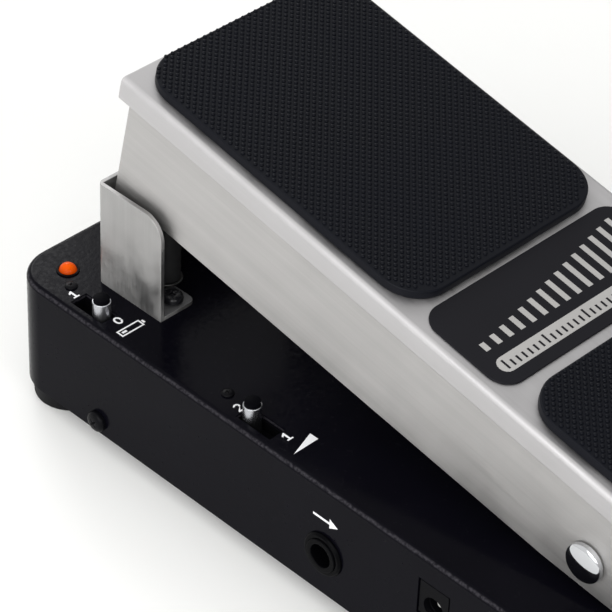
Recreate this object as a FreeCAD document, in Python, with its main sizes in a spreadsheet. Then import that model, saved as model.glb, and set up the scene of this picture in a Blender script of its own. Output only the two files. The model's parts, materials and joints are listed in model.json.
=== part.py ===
import FreeCAD, Part
import math
import os
import re
import Sketcher
from FreeCAD import Placement, Rotation, Vector

# Rocking effects pedal: a black steel base with a brushed steel treadle hinged near its heel end.
# Frame: +Z up, +Y towards the toe end, -X the player's left side with the output jack and power socket.
# The origin is on the floor under the middle of the base.

doc = FreeCAD.newDocument("EffectsPedal")

SIZES = {
    # base: a pressed steel tray, open below
    "base_length": 260, "base_width": 107, "base_height": 34, "base_wall": 1.5,
    "corner_round": 12, "top_round": 1.6, "foot_height": 6, "foot_width": 21, "foot_inset": 11.5,
    "plate_wall": 1.2, "plate_gap": 0.2, "tab_height": 8, "tab_length": 20, "side_screw_y": 95,
    # treadle, measured from its hinge line: y along the treadle, z square to its face
    "hinge_y": -54, "hinge_z": 51.5, "tilt": 10.95,
    "cover_length": 223, "cover_width": 75, "cover_wall": 1, "cover_lip": 6.7, "cover_round": 1.6,
    "toe_reach": 164.7, "face_rise": 23.6, "channel_wall": 1.2, "skirt_setback": 3.3,
    "skirt_toe_drop": 12.8, "knee_reach": 11.7, "knee_drop": 9.6,
    "heel_knee_reach": 12, "heel_knee_drop": 7.9, "skirt_heel_rise": 9,
    # what is glued on the treadle
    "pad_width": 68.2, "pad_height": 3, "pad_corner": 11, "toe_pad_length": 97, "toe_pad_margin": 1.8,
    "badge_length": 28.5, "badge_gap": 1.8, "badge_height": 0.5, "badge_corner": 6,
    "heel_pad_gap": 4, "heel_pad_length": 86.5,
    # hinge hardware
    "shoulder_radius": 3, "thread_radius": 2.5, "running_gap": 0.05, "bush_radius": 4.5, "bush_flange": 6.5,
    "screw_head_radius": 5.2, "ear_x": 32, "ear_wall": 2, "ear_radius": 8, "bracket_depth": 28,
    # toe guide bracket
    "guide_width": 79.2, "guide_toe_y": 110.2, "guide_heel_y": 86.3, "guide_height": 31.5,
    "guide_wall": 1.2, "guide_corner": 6.5,
    "guide_tab": 12.2, "guide_tab_depth": 8.7, "guide_tab_corner": 2,
    # return springs
    "spring_x": 25.7, "spring_y": 99, "spring_length": 60, "coil_radius": 2.5, "wire_radius": 0.4,
    "coil_pitch": 3, "sleeve_radius": 3.75, "sleeve_wall": 0.6, "post_radius": 1.9,
    # slide switches and lamp
    "switch_x": -48.2, "battery_switch_y": 102.2, "bass_switch_y": 40.8, "switch_travel": 6,
    "knob_radius": 2.45, "knob_rise": 5.4, "slot_width": 5.4, "slot_length": 12,
    "switch_width": 7, "switch_length": 16, "switch_height": 8.5,
    "lamp_x": -42.5, "lamp_y": 118.7, "lamp_radius": 2.45, "bezel_wall": 0.3, "bezel_lip": 0.6,
    # sockets
    "jack_y": 12.5, "jack_z": 19, "jack_bore": 3.25, "jack_bush": 4.75, "jack_proud": 1.4,
    "jack_depth": 22, "jack_nut_radius": 6.2,
    "power_y": -23.5, "power_z": 27.1, "power_width": 10, "power_height": 11, "power_hole_z": 25.6,
    "power_mouth": 3.1, "power_bore": 2.9,
    # drive: a rack pinned to the treadle turns the pot through a pinion
    "pin_reach": 90.4, "pin_drop": 6.8, "pin_radius": 1.5, "rack_width": 6, "rack_depth": 5,
    "addendum": 0.8, "pinion_pitch_radius": 6, "pinion_z": 28.5, "pinion_width": 7, "pot_radius": 8,
    "rack_slot_width": 8.4, "rack_slot_length": 12.2, "rack_slot_gap": 0.7,
    # circuit board and battery
    "board_x": -29.75, "board_y": 73, "board_width": 41.5, "board_length": 96, "board_wall": 1.6,
    "battery_x": 35.25, "battery_y": 48.25, "battery_width": 26.5, "battery_length": 48.5,
    "battery_height": 17.5,
}
PINION_TEETH = 12
RACK_GAPS = 8
TOOTH_PITCH = f"(2*pi*pinion_pitch_radius/{PINION_TEETH})"

TOP = "(foot_height+base_height)"
UNDER_TOP = f"({TOP}-base_wall)"
SIDE = "(base_width/2)"
PLATE_TOP = "(foot_height+plate_wall)"
WEB_UNDERSIDE = "(face_rise-cover_wall-channel_wall)"
RACK_Y = "(hinge_y+pin_reach*cos(tilt)+pin_drop*sin(tilt))"
PIN_Z = "(hinge_z+pin_reach*sin(tilt)-pin_drop*cos(tilt))"
PINION_Y = f"({RACK_Y}-rack_depth/2+addendum-pinion_pitch_radius)"
BOARD_TOP = f"({UNDER_TOP}-switch_height)"

ALONG_X = Rotation(Vector(0, 1, 0), 90)
AGAINST_X = Rotation(Vector(0, 1, 0), -90)
DOWN = Rotation(Vector(1, 0, 0), 180)
UPRIGHT = Rotation()
SIDES = {"left": "-1", "right": "1"}

sheet = doc.addObject("Spreadsheet::Sheet", "Sizes")
for row, (alias, value) in enumerate(SIZES.items(), start=1):
    sheet.set(f"A{row}", alias)
    sheet.set(f"B{row}", str(value))
    sheet.setAlias(f"B{row}", alias)
doc.recompute()
ALIASES = re.compile(r"\b(" + "|".join(SIZES) + r")\b")
nodes = []


# ---- helpers ----

def formula(text):
    """The expression with each size's name pointed at the sheet."""
    return ALIASES.sub(r"Sizes.\1", str(text))


def bind(item, **expressions):
    """Tie each property of the item to an expression in the sheet's names."""
    for name, text in expressions.items():
        item.setExpression(name.replace("__", "."), formula(text))
    return item


def put(item, x=0, y=0, z=0, turn=UPRIGHT):
    """Turn the item, then tie its place to three expressions."""
    item.Placement = Placement(Vector(), turn)
    return bind(item, Placement__Base__x=x, Placement__Base__y=y, Placement__Base__z=z)


def block(name, width, depth, height, x=0, y=0, z=0):
    """A box centred on x and y, standing on z."""
    item = bind(doc.addObject("Part::Box", name), Length=width, Width=depth, Height=height)
    return put(item, f"{x}-({width})/2", f"{y}-({depth})/2", z)


def rod(name, radius, length, x=0, y=0, z=0, turn=UPRIGHT):
    """A cylinder that starts at a point and runs along the turned Z axis."""
    item = bind(doc.addObject("Part::Cylinder", name), Radius=radius, Height=length)
    return put(item, x, y, z, turn)


def taper(name, start_radius, end_radius, length, x=0, y=0, z=0, turn=UPRIGHT):
    """A cone frustum that starts at a point."""
    item = bind(doc.addObject("Part::Cone", name), Radius1=start_radius, Radius2=end_radius, Height=length)
    return put(item, x, y, z, turn)


def hexagon(name, radius, length, x=0, y=0, z=0, turn=UPRIGHT):
    """A hexagonal bar, its corners on the radius."""
    item = bind(doc.addObject("Part::Prism", name), Circumradius=radius, Height=length)
    item.Polygon = 6
    return put(item, x, y, z, turn)


def fuse(name, *items):
    """One solid from several."""
    item = doc.addObject("Part::MultiFuse", name)
    item.Shapes = list(items)
    return item


def group(name, *items):
    """Separate solids that make one node."""
    item = doc.addObject("Part::Compound", name)
    item.Links = list(items)
    return item


def cut(name, base, *tools):
    """The base with each tool taken out."""
    item = doc.addObject("Part::Cut", name)
    item.Base = base
    item.Tool = tools[0] if len(tools) == 1 else group(f"{name}Tools", *tools)
    return item


def screw(name, head_radius, head_height, shank_radius, length, x, y, z, turn=UPRIGHT):
    """A screw whose head stands on a face at the point given and whose shank runs the other way."""
    back = turn.multiply(DOWN)
    head = rod(f"{name}Head", head_radius, head_height, x, y, z, turn)
    shank = rod(f"{name}Shank", shank_radius, length, x, y, z, back)
    return fuse(name, head, shank)


def nut(name, radius, hole, length, x, y, z, turn=UPRIGHT):
    """A hexagonal nut with a plain hole."""
    bar = hexagon(f"{name}Bar", radius, length, x, y, z, turn)
    return cut(name, bar, rod(f"{name}Hole", hole, length, x, y, z, turn))


def tube(name, outer, inner, length, x=0, y=0, z=0, turn=UPRIGHT):
    """A round tube."""
    wall = rod(f"{name}Wall", outer, length, x, y, z, turn)
    return cut(name, wall, rod(f"{name}Bore", inner, length, x, y, z, turn))


def add_node(label, item):
    """Give a finished piece its own name and keep it for the export."""
    item.Label = label
    nodes.append(item)
    return item


def start_body(name):
    return doc.addObject("PartDesign::Body", name)


def origin_feature(body, role):
    return next(item for item in body.Origin.OriginFeatures if item.Role == role)


def start_sketch(body, plane, name):
    sketch = body.newObject("Sketcher::SketchObject", f"{body.Name}{name}")
    sketch.AttachmentSupport = (origin_feature(body, plane), "")
    sketch.MapMode = "FlatFace"
    return sketch


def evaluate(text):
    """The present value of an expression, used to draw a sketch near its final shape."""
    value = sheet.evalExpression(formula(text))
    return float(getattr(value, "Value", value))


def tie(sketch, kind, geometry, text, point=None):
    """A dimension tied to an expression; with a point it is measured from the sketch's origin."""
    where = (geometry,) if point is None else (-1, 1, geometry, point)
    index = sketch.addConstraint(Sketcher.Constraint(kind, *where, evaluate(text)))
    sketch.setExpression(f"Constraints[{index}]", formula(text))


def draw_outline(sketch, corners):
    """A closed outline through corners given as pairs of expressions."""
    spots = [Vector(evaluate(x), evaluate(y), 0) for x, y in corners]
    first = sketch.GeometryCount
    count = len(spots)
    for step in range(count):
        sketch.addGeometry(Part.LineSegment(spots[step], spots[(step + 1) % count]), False)
    for step in range(count):
        following = first + (step + 1) % count
        sketch.addConstraint(Sketcher.Constraint("Coincident", first + step, 2, following, 1))
    for step, (x, y) in enumerate(corners):
        tie(sketch, "DistanceX", first + step, x, point=1)
        tie(sketch, "DistanceY", first + step, y, point=1)


def draw_rectangle(sketch, width, depth, x="0", y="0"):
    """A rectangle centred on a point."""
    left, right = f"{x}-({width})/2", f"{x}+({width})/2"
    low, high = f"{y}-({depth})/2", f"{y}+({depth})/2"
    draw_outline(sketch, [(left, low), (right, low), (right, high), (left, high)])


def draw_circle(sketch, radius, x="0", y="0"):
    centre = Vector(evaluate(x), evaluate(y), 0)
    index = sketch.addGeometry(Part.Circle(centre, Vector(0, 0, 1), evaluate(radius)), False)
    tie(sketch, "Radius", index, radius)
    tie(sketch, "DistanceX", index, x, point=3)
    tie(sketch, "DistanceY", index, y, point=3)


def pad(body, sketch, length, middle=False, reverse=False):
    """Extrude a sketch; in the middle means half to each side."""
    feature = body.newObject("PartDesign::Pad", f"{sketch.Name}Pad")
    feature.Profile = sketch
    feature.SideType = "Symmetric" if middle else "One side"
    feature.Reversed = reverse
    bind(feature, Length=length)
    doc.recompute()
    return feature


def pocket(body, sketch, length, middle=False, reverse=False):
    """Cut a sketch out, and make sure that something was cut."""
    before = body.Shape.Volume
    feature = body.newObject("PartDesign::Pocket", f"{sketch.Name}Pocket")
    feature.Profile = sketch
    feature.SideType = "Symmetric" if middle else "One side"
    feature.Reversed = reverse
    bind(feature, Length=length)
    doc.recompute()
    if body.Shape.Volume > before - 1e-3:
        raise RuntimeError(f"{feature.Name} cuts nothing")
    return feature


def round_edges(body, radius, chosen):
    """Round the edges of the body that the test picks."""
    tip = body.Tip
    names = [f"Edge{i}" for i, edge in enumerate(tip.Shape.Edges, start=1) if chosen(edge)]
    feature = body.newObject("PartDesign::Fillet", f"{tip.Name}Round")
    feature.Base = (tip, names)
    bind(feature, Radius=radius)
    doc.recompute()
    return feature


def runs_along(edge, axis):
    """True for a straight edge along one axis."""
    box = edge.BoundBox
    spans = {"x": box.XLength, "y": box.YLength, "z": box.ZLength}
    across = [span for name, span in spans.items() if name != axis]
    return max(across) < 0.01 and spans[axis] > 0.01


def on_treadle(item):
    """Place a piece drawn about the hinge line at the rest tilt."""
    put(item, 0, "hinge_y", "hinge_z", Rotation(Vector(1, 0, 0), SIZES["tilt"]))
    return item


def lead(name, radius, bend, *points):
    """A wire of straight runs joined by tangent arcs, through points in millimetres."""
    spots = [Vector(*point) for point in points]
    edges = []
    here = spots[0]
    for before, corner, after in zip(spots, spots[1:], spots[2:]):
        back, ahead = (before - corner).normalize(), (after - corner).normalize()
        half = back.getAngle(ahead) / 2
        reach = bend / math.tan(half)
        start, stop = corner + back * reach, corner + ahead * reach
        inward = (back + ahead).normalize()
        centre = corner + inward * (bend / math.sin(half))
        edges.append(Part.LineSegment(here, start).toShape())
        edges.append(Part.Arc(start, centre - inward * bend, stop).toShape())
        here = stop
    edges.append(Part.LineSegment(here, spots[-1]).toShape())
    path = Part.Wire(edges)
    ring = Part.Wire(Part.Circle(spots[0], spots[1] - spots[0], radius).toShape())
    item = doc.addObject("Part::Feature", name)
    item.Shape = path.makePipeShell([ring], True, False)
    if abs(item.Shape.Volume / (path.Length * math.pi * radius ** 2) - 1) > 0.02:
        raise RuntimeError(f"{name} is not a sound tube")
    return item


# ---- base: shell, bottom plate and feet ----

def make_base_shell():
    body = start_body("BaseShell")
    put(body, z="foot_height")
    outline = start_sketch(body, "XY_Plane", "Outline")
    draw_rectangle(outline, "base_width", "base_length")
    pad(body, outline, "base_height")
    round_edges(body, "corner_round", lambda edge: runs_along(edge, "z"))
    high = SIZES["base_height"] - 0.01
    round_edges(body, "top_round", lambda edge: edge.BoundBox.ZMin > high)
    inner_round = SIZES["corner_round"] - SIZES["base_wall"]
    hollow = block("ShellHollow", "base_width-2*base_wall", "base_length-2*base_wall", UNDER_TOP)
    rounded = doc.addObject("Part::Fillet", "ShellHollowRound")
    rounded.Base = hollow
    doc.recompute()
    corners = [i for i, edge in enumerate(hollow.Shape.Edges, start=1) if runs_along(edge, "z")]
    rounded.Edges = [(i, inner_round, inner_round) for i in corners]

    holes = [rod("LampHole", "lamp_radius+bezel_wall+0.05", 10, "lamp_x", "lamp_y", UNDER_TOP + "-3")]
    for name in ("battery", "bass"):
        title = name.capitalize()
        holes.append(block(f"{title}Slot", "slot_width", "slot_length", 10,
                           "switch_x", f"{name}_switch_y", UNDER_TOP + "-3"))
    for x, y, radius in TOP_HOLES:
        holes.append(rod("TopHole", radius, 10, x, y, UNDER_TOP + "-3"))
    slot_y = f"{RACK_Y}+rack_depth/2+rack_slot_gap-rack_slot_length/2"
    holes.append(block("RackSlot", "rack_slot_width", "rack_slot_length", 10, 0, slot_y, UNDER_TOP + "-3"))
    for sign in SIDES.values():
        holes.append(rod("JackHole", "jack_bush+0.1", 6, f"{sign}*({SIDE}-3)-3", "jack_y", "jack_z",
                         ALONG_X))
        for end in SIDES.values():
            holes.append(rod("SideHole", 1.6, 6, f"{sign}*({SIDE}-1)-3", f"{end}*side_screw_y",
                             "foot_height+3.9", ALONG_X))
    holes.append(block("PowerHole", 6, "power_width+0.2", "power_height+0.2",
                       f"-{SIDE}", "power_y", "power_z-power_height/2-0.1"))
    add_node("base_shell", cut("base_shell", body, rounded, *holes))


def make_bottom_plate():
    inner = "2*(base_wall+plate_gap)"
    body = start_body("BottomPlate")
    put(body, z="foot_height")
    outline = start_sketch(body, "XY_Plane", "Outline")
    draw_rectangle(outline, f"base_width-{inner}", f"base_length-{inner}")
    pad(body, outline, "plate_wall")
    round_edges(body, "corner_round-base_wall-plate_gap", lambda edge: runs_along(edge, "z"))
    tabs = start_sketch(body, "XY_Plane", "Tabs")
    for sign in SIDES.values():
        for end in SIDES.values():
            draw_rectangle(tabs, "plate_wall", "tab_length",
                           f"{sign}*({SIDE}-base_wall-plate_gap-plate_wall/2)", f"{end}*side_screw_y")
    pad(body, tabs, "tab_height")
    holes = []
    for sign in SIDES.values():
        for end in SIDES.values():
            holes.append(rod("FootHole", 1.6, 6, foot_x(sign), foot_y(end), "foot_height-1"))
            holes.append(rod("TabHole", 1.5, 6, f"{sign}*({SIDE}-3)-3", f"{end}*side_screw_y",
                             "foot_height+3.9", ALONG_X))
    add_node("bottom_plate", cut("bottom_plate", body, *holes))


def foot_x(sign):
    return f"{sign}*({SIDE}-foot_inset)"


def foot_y(end):
    return f"{end}*(base_length/2-foot_inset)"


def make_feet():
    feet, screws, side_screws = [], [], []
    for sign in SIDES.values():
        for end in SIDES.values():
            x, y = foot_x(sign), foot_y(end)
            solid = taper("FootBlock", "foot_width/2-0.5", "foot_width/2", "foot_height", x, y)
            recess = rod("FootRecess", 3.6, 3.4, x, y)
            hole = rod("FootBore", 1.6, "foot_height", x, y)
            feet.append(cut("Foot", solid, recess, hole))
            screws.append(screw("FootScrew", 2.9, 2, 1.5, 8.6, x, y, 3.4, DOWN))
            turn = ALONG_X if sign == "1" else AGAINST_X
            side_screws.append(screw("SideScrew", 3, 1.9, 1.5, 5, f"{sign}*{SIDE}", f"{end}*side_screw_y",
                                     "foot_height+3.9", turn))
    add_node("rubber_feet", group("rubber_feet", *feet))
    add_node("foot_screws", group("foot_screws", *screws))
    add_node("bottom_plate_screws", group("bottom_plate_screws", *side_screws))


# ---- toe guide bracket: a U of stainless sheet with three tabs screwed to the base ----

GUIDE_SCREWS = [("-31.6", "90.4"), ("31.6", "90.4"), ("0", "103.5")]


def make_guide():
    body = start_body("ToeGuide")
    put(body, z=TOP)
    half, wall = "guide_width/2", "guide_wall"
    outline = start_sketch(body, "XY_Plane", "Outline")
    draw_outline(outline, [
        (f"-{half}", "guide_heel_y"), (f"{wall}-{half}", "guide_heel_y"),
        (f"{wall}-{half}", f"guide_toe_y-{wall}"), (f"{half}-{wall}", f"guide_toe_y-{wall}"),
        (f"{half}-{wall}", "guide_heel_y"), (half, "guide_heel_y"),
        (half, "guide_toe_y"), (f"-{half}", "guide_toe_y")])
    pad(body, outline, "guide_height")
    heel, toe, high = SIZES["guide_heel_y"], SIZES["guide_toe_y"], SIZES["guide_height"] - 0.01
    round_edges(body, "guide_corner", lambda edge: edge.BoundBox.YMax < heel + 0.01
                and edge.BoundBox.ZMin > high)
    round_edges(body, "1.8", lambda edge: runs_along(edge, "z") and edge.BoundBox.YMin > toe - 0.01)
    tabs = start_sketch(body, "XY_Plane", "Tabs")
    for sign in SIDES.values():
        draw_rectangle(tabs, "guide_tab", "guide_tab_depth",
                       f"{sign}*({half}-guide_tab/2)", "guide_heel_y+guide_tab_depth/2")
    draw_rectangle(tabs, "18", "12", "0", "guide_toe_y-6")
    pad(body, tabs, wall)
    tab_end = SIZES["guide_width"] / 2 - SIZES["guide_tab"]
    round_edges(body, "guide_tab_corner", lambda edge: runs_along(edge, "z")
                and abs(abs(edge.BoundBox.XMin) - tab_end) < 0.01)
    holes = [rod("GuideHole", 1.6, 4, x, y, f"{TOP}-1") for x, y in GUIDE_SCREWS]
    add_node("toe_guide_bracket", cut("toe_guide_bracket", body, *holes))
    screws = [screw("GuideScrew", 2.8, 2, 1.5, 6, x, y, f"{TOP}+{wall}") for x, y in GUIDE_SCREWS]
    add_node("bracket_screws", group("bracket_screws", *screws))


# ---- return springs in rubber sleeves, standing on posts under the toe ----

def make_springs():
    posts, coils, sleeves, pegs = [], [], [], []
    for side, sign in SIDES.items():
        x, y = f"{sign}*spring_x", "spring_y"
        posts.append(fuse("SpringPost", rod("PostStem", "post_radius", 16, x, y, TOP),
                          rod("PostFlange", "sleeve_radius+0.5", 0.8, x, y, TOP),
                          rod("PostStud", 1.5, 6, x, y, f"{TOP}-6")))
        body = start_body(f"Coil{side.capitalize()}")
        put(body, x, y, f"{TOP}+0.9+wire_radius")
        section = start_sketch(body, "XZ_Plane", "Wire")
        draw_circle(section, "wire_radius", "coil_radius")
        helix = body.newObject("PartDesign::AdditiveHelix", f"{body.Name}Helix")
        helix.Profile = section
        helix.ReferenceAxis = (section, ["V_Axis"])
        bind(helix, Pitch="coil_pitch", Height="spring_length")
        doc.recompute()
        coils.append(body)
        sleeves.append(tube("Sleeve", "sleeve_radius", "sleeve_radius-sleeve_wall", "spring_length", x, y,
                            f"{TOP}+0.9"))
        pegs.append(rod("SpringPeg", "post_radius", 9.5, x, y, f"{TOP}+53.5"))
    add_node("spring_posts", group("spring_posts", *posts))
    add_node("toe_springs", group("toe_springs", *coils))
    add_node("spring_sleeves", group("spring_sleeves", *sleeves))
    add_node("spring_pegs", group("spring_pegs", *pegs))


# ---- lamp, slide switches and sockets ----

def make_lamp():
    x, y = "lamp_x", "lamp_y"
    stem = rod("LampStem", "lamp_radius", 6.2, x, y, f"{TOP}-6")
    rim = rod("LampRim", "lamp_radius+0.5", 1, x, y, f"{UNDER_TOP}-1.2")
    dome = bind(doc.addObject("Part::Sphere", "LampDome"), Radius="lamp_radius")
    put(dome, x, y, f"{TOP}-0.3")
    add_node("led_lens", fuse("led_lens", stem, rim, dome))
    collar = tube("LampCollar", "lamp_radius+bezel_wall", "lamp_radius", "base_wall+0.4", x, y, UNDER_TOP)
    lip = tube("LampLip", "lamp_radius+bezel_lip", "lamp_radius", 0.4, x, y, TOP)
    add_node("led_bezel", fuse("led_bezel", collar, lip))


def make_switch(name, knob_offset):
    """A slide switch under the top, its round knob standing in the slot at one end of its travel."""
    title, y = name.capitalize(), f"{name}_switch_y"
    case = block(f"{title}Case", "switch_width", "switch_length", "switch_height", "switch_x", y, BOARD_TOP)
    well = block(f"{title}Well", "slot_width", "slot_length", 4, "switch_x", y, f"{UNDER_TOP}-3.4")
    add_node(f"{name}_switch_body", cut(f"{name}_switch_body", case, well))
    at = f"{y}{knob_offset}switch_travel/2"
    low = f"{UNDER_TOP}-3.2"
    stem = rod(f"{title}Stem", "knob_radius", f"{TOP}+knob_rise-0.5-({low})", "switch_x", at, low)
    chamfer = taper(f"{title}Chamfer", "knob_radius", "knob_radius-0.5", 0.5, "switch_x", at,
                    f"{TOP}+knob_rise-0.5")
    add_node(f"{name}_switch_knob", fuse(f"{name}_switch_knob", stem, chamfer))


def make_jacks():
    nuts, lugs = [], []
    for name, sign, turn in (("out", "-1", AGAINST_X), ("in", "1", ALONG_X)):
        title = name.capitalize()
        inside = f"{sign}*({SIDE}-base_wall-jack_depth/2)"
        mouth = f"{sign}*({SIDE}+jack_proud)"
        case = block(f"{title}Case", "jack_depth", 16, 14, inside, "jack_y", "jack_z-7")
        bush = rod(f"{title}Bush", "jack_bush", "jack_proud+base_wall", f"{sign}*({SIDE}-base_wall)",
                   "jack_y", "jack_z", turn)
        back = turn.multiply(DOWN)
        bore = rod(f"{title}Bore", "jack_bore", 23, mouth, "jack_y", "jack_z", back)
        solid = fuse(f"{title}Solid", case, bush)
        add_node(f"{name}_jack_body", cut(f"{name}_jack_body", solid, bore))
        nuts.append(tube(f"{title}Nut", "jack_nut_radius", "jack_bush", 1, f"{sign}*{SIDE}",
                         "jack_y", "jack_z", turn))
        for step in (-1, 0, 1):
            lugs.append(block("JackLug", 4, 0.5, 2.4, f"{sign}*({SIDE}-base_wall-jack_depth-2)",
                              f"jack_y+{step}*4", "jack_z-1.2"))
    add_node("jack_nuts", group("jack_nuts", *nuts))
    add_node("jack_lugs", group("jack_lugs", *lugs))


def make_power_socket():
    face = f"(-{SIDE}+0.2)"
    case = block("PowerCase", 13.5, "power_width", "power_height", f"{face}+6.75", "power_y",
                 "power_z-power_height/2")
    mouth = rod("PowerMouth", "power_mouth", 2, face, "power_y", "power_hole_z", ALONG_X)
    bore = rod("PowerBore", "power_bore", 10, face, "power_y", "power_hole_z", ALONG_X)
    add_node("power_socket", cut("power_socket", case, mouth, bore))
    pin = rod("power_socket_pin", 1.05, 7.7, f"{face}+2.3", "power_y", "power_hole_z", ALONG_X)
    add_node("power_socket_pin", pin)


# ---- circuit board and battery ----

BOARD_POSTS = [("-46.4", "113"), ("-46.4", "54.4"), ("-14", "60"), ("-14", "84")]


def make_board():
    board = block("BoardSheet", "board_width", "board_length", "board_wall", "board_x", "board_y",
                  f"{BOARD_TOP}-board_wall")
    add_node("circuit_board", board)
    posts = [tube("BoardPost", 2.4, 1, "switch_height", x, y, BOARD_TOP) for x, y in BOARD_POSTS]
    add_node("board_standoffs", group("board_standoffs", *posts))
    screws = [screw("BoardScrew", 1.7, 0.7, 1, 6, x, y, TOP) for x, y in BOARD_POSTS]
    add_node("board_screws", group("board_screws", *screws))
    below = f"{BOARD_TOP}-board_wall"
    can_spots = [(-44, 36), (-34, 36), (-44, 66), (-18, 108)]
    cans = [rod("Can", 3.2, 9, x, y, below, DOWN) for x, y in can_spots]
    add_node("capacitors", group("capacitors", *cans))
    chip_spots = [(-30, 60), (-30, 80), (-42, 92)]
    chips = [block("Chip", 6.4, 9.6, 3.4, x, y, f"{below}-3.4") for x, y in chip_spots]
    add_node("chips", group("chips", *chips))
    pot_core = rod("inductor", 9, 11, -24, 46, below, DOWN)
    add_node("inductor", pot_core)


def make_battery():
    x, y, low = "battery_x", "battery_y", f"{PLATE_TOP}+1"
    cell = block("Cell", "battery_width", "battery_length", "battery_height", x, y, low)
    toe_face = f"{y}+battery_length/2"
    along_y = Rotation(Vector(1, 0, 0), -90)
    studs = [rod("Stud", 2.9, 2.8, f"{x}{shift}", toe_face, f"{low}+battery_height/2", along_y)
             for shift in ("-6.4", "+6.4")]
    add_node("battery", fuse("battery", cell, *studs))
    add_node("battery_snap", block("battery_snap", 24, 3, 12, x, f"{toe_face}+4.3", f"{low}+2.7"))
    floor = block("ClipFloor", "battery_width+2.6", 22, 0.8, x, y, PLATE_TOP)
    walls = [block("ClipWall", 0.8, 22, 15, f"{x}+{sign}*(battery_width/2+0.9)", y, PLATE_TOP)
             for sign in SIDES.values()]
    add_node("battery_clip", fuse("battery_clip", floor, *walls))


def make_leads():
    low = evaluate(BOARD_TOP) - SIZES["board_wall"]
    toe = SIZES["battery_y"] + SIZES["battery_length"] / 2 + 5.8
    battery = [lead("BatteryLead", 0.7, 3, (30 + gap, toe, 18), (30 + gap, toe + 8 + gap, 18),
                    (-14 + gap, toe + 8 + gap, 18), (-14 + gap, toe + 8 + gap, low)) for gap in (0, 2.4)]
    add_node("battery_leads", group("battery_leads", *battery))
    end = SIZES["base_width"] / 2 - SIZES["base_wall"] - SIZES["jack_depth"] - 4
    jack_y, jack_z = SIZES["jack_y"], SIZES["jack_z"]
    signal = []
    for step in (-4, 4):
        height = jack_z + step / 2
        left, right, middle = -end + 8 - step, end - 7 + step / 2, -11 - step / 2
        signal.append(lead("OutLead", 0.7, 2.5, (-end, jack_y + step, jack_z),
                           (left, jack_y + step, jack_z), (left, 30, height), (left, 30, low)))
        signal.append(lead("InLead", 0.7, 2.5, (end, jack_y + step, jack_z),
                           (right, jack_y + step, jack_z), (right, -4 - step, 12), (middle, -4 - step, 12),
                           (middle, 33, 12), (middle, 33, low)))
    add_node("signal_leads", group("signal_leads", *signal))


# ---- hinge: a bracket on the base, shoulder screws, bushes in the skirts ----

BRACKET_SCREWS = [(x, y) for x in ("-22", "22") for y in ("hinge_y-10", "hinge_y+10")]


def make_hinge():
    floor = block("HingeFloor", "2*ear_x+ear_wall", "bracket_depth", 2, 0, "hinge_y", TOP)
    solids, screws, nuts, washers, bushes = [floor], [], [], [], []
    holes = [rod("HingeHole", 2.1, 4, x, y, f"{TOP}-1") for x, y in BRACKET_SCREWS]
    inner_face = "(cover_width/2-cover_wall-channel_wall)"
    for sign, turn in (("-1", AGAINST_X), ("1", ALONG_X)):
        ear = f"{sign}*ear_x"
        outside = f"{sign}*(ear_x+ear_wall/2)"
        solids.append(block("EarPlate", "ear_wall", "2*ear_radius", f"hinge_z-{TOP}", ear, "hinge_y", TOP))
        solids.append(rod("EarRound", "ear_radius", "ear_wall", f"{sign}*(ear_x-ear_wall/2)",
                          "hinge_y", "hinge_z", turn))
        holes.append(rod("EarHole", "thread_radius", "ear_wall+2", f"{sign}*(ear_x-ear_wall/2-1)",
                         "hinge_y", "hinge_z", turn))
        back = turn.multiply(DOWN)
        shoulder_end = "(cover_width/2-cover_wall+0.4)"
        head = rod("HingeHead", "screw_head_radius", 1.1, f"{sign}*{shoulder_end}",
                   "hinge_y", "hinge_z", turn)
        crown = taper("HingeCrown", "screw_head_radius", "screw_head_radius-2.4", 1.4,
                      f"{sign}*({shoulder_end}+1.1)", "hinge_y", "hinge_z", turn)
        shoulder = rod("HingeShoulder", "shoulder_radius", f"{shoulder_end}-ear_x-ear_wall/2",
                       f"{sign}*{shoulder_end}", "hinge_y", "hinge_z", back)
        thread = rod("HingeThread", "thread_radius", 8, outside, "hinge_y", "hinge_z", back)
        screws.append(fuse("HingeScrew", head, crown, shoulder, thread))
        nuts.append(nut("HingeNut", 4.6, "thread_radius", 4, f"{sign}*(ear_x-ear_wall/2)",
                        "hinge_y", "hinge_z", back))
        washers.append(tube("HingeWasher", 5.5, "shoulder_radius", 1.1, outside,
                            "hinge_y", "hinge_z", turn))
        flange = rod("BushFlange", "bush_flange", 1, f"{sign}*({inner_face}-1)", 0, 0, turn)
        sleeve = rod("BushSleeve", "bush_radius", "channel_wall+1.3", f"{sign}*({inner_face}-1)",
                     0, 0, turn)
        bore = rod("BushBore", "shoulder_radius+running_gap", 6, f"{sign}*({inner_face}-2)", 0, 0, turn)
        bushes.append(cut("Bush", fuse("BushSolid", flange, sleeve), bore))
    add_node("pivot_bracket", cut("pivot_bracket", fuse("HingeSolid", *solids), *holes))
    add_node("pivot_screws", group("pivot_screws", *screws))
    add_node("pivot_nuts", group("pivot_nuts", *nuts))
    add_node("pivot_washers", group("pivot_washers", *washers))
    add_node("pivot_bushes", on_treadle(group("pivot_bushes", *bushes)))
    screws = [screw("BracketScrew", 3.4, 2.2, 2, 8, x, y, f"{TOP}+2") for x, y in BRACKET_SCREWS]
    add_node("pivot_bracket_screws", group("pivot_bracket_screws", *screws))


# ---- stops: a rubber-topped bracket under the heel holds the rest angle, two pads stop the toe ----

HEEL_STOP_Y = "(hinge_y-44)"
HEEL_STOP_RISE = 20.3


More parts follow.
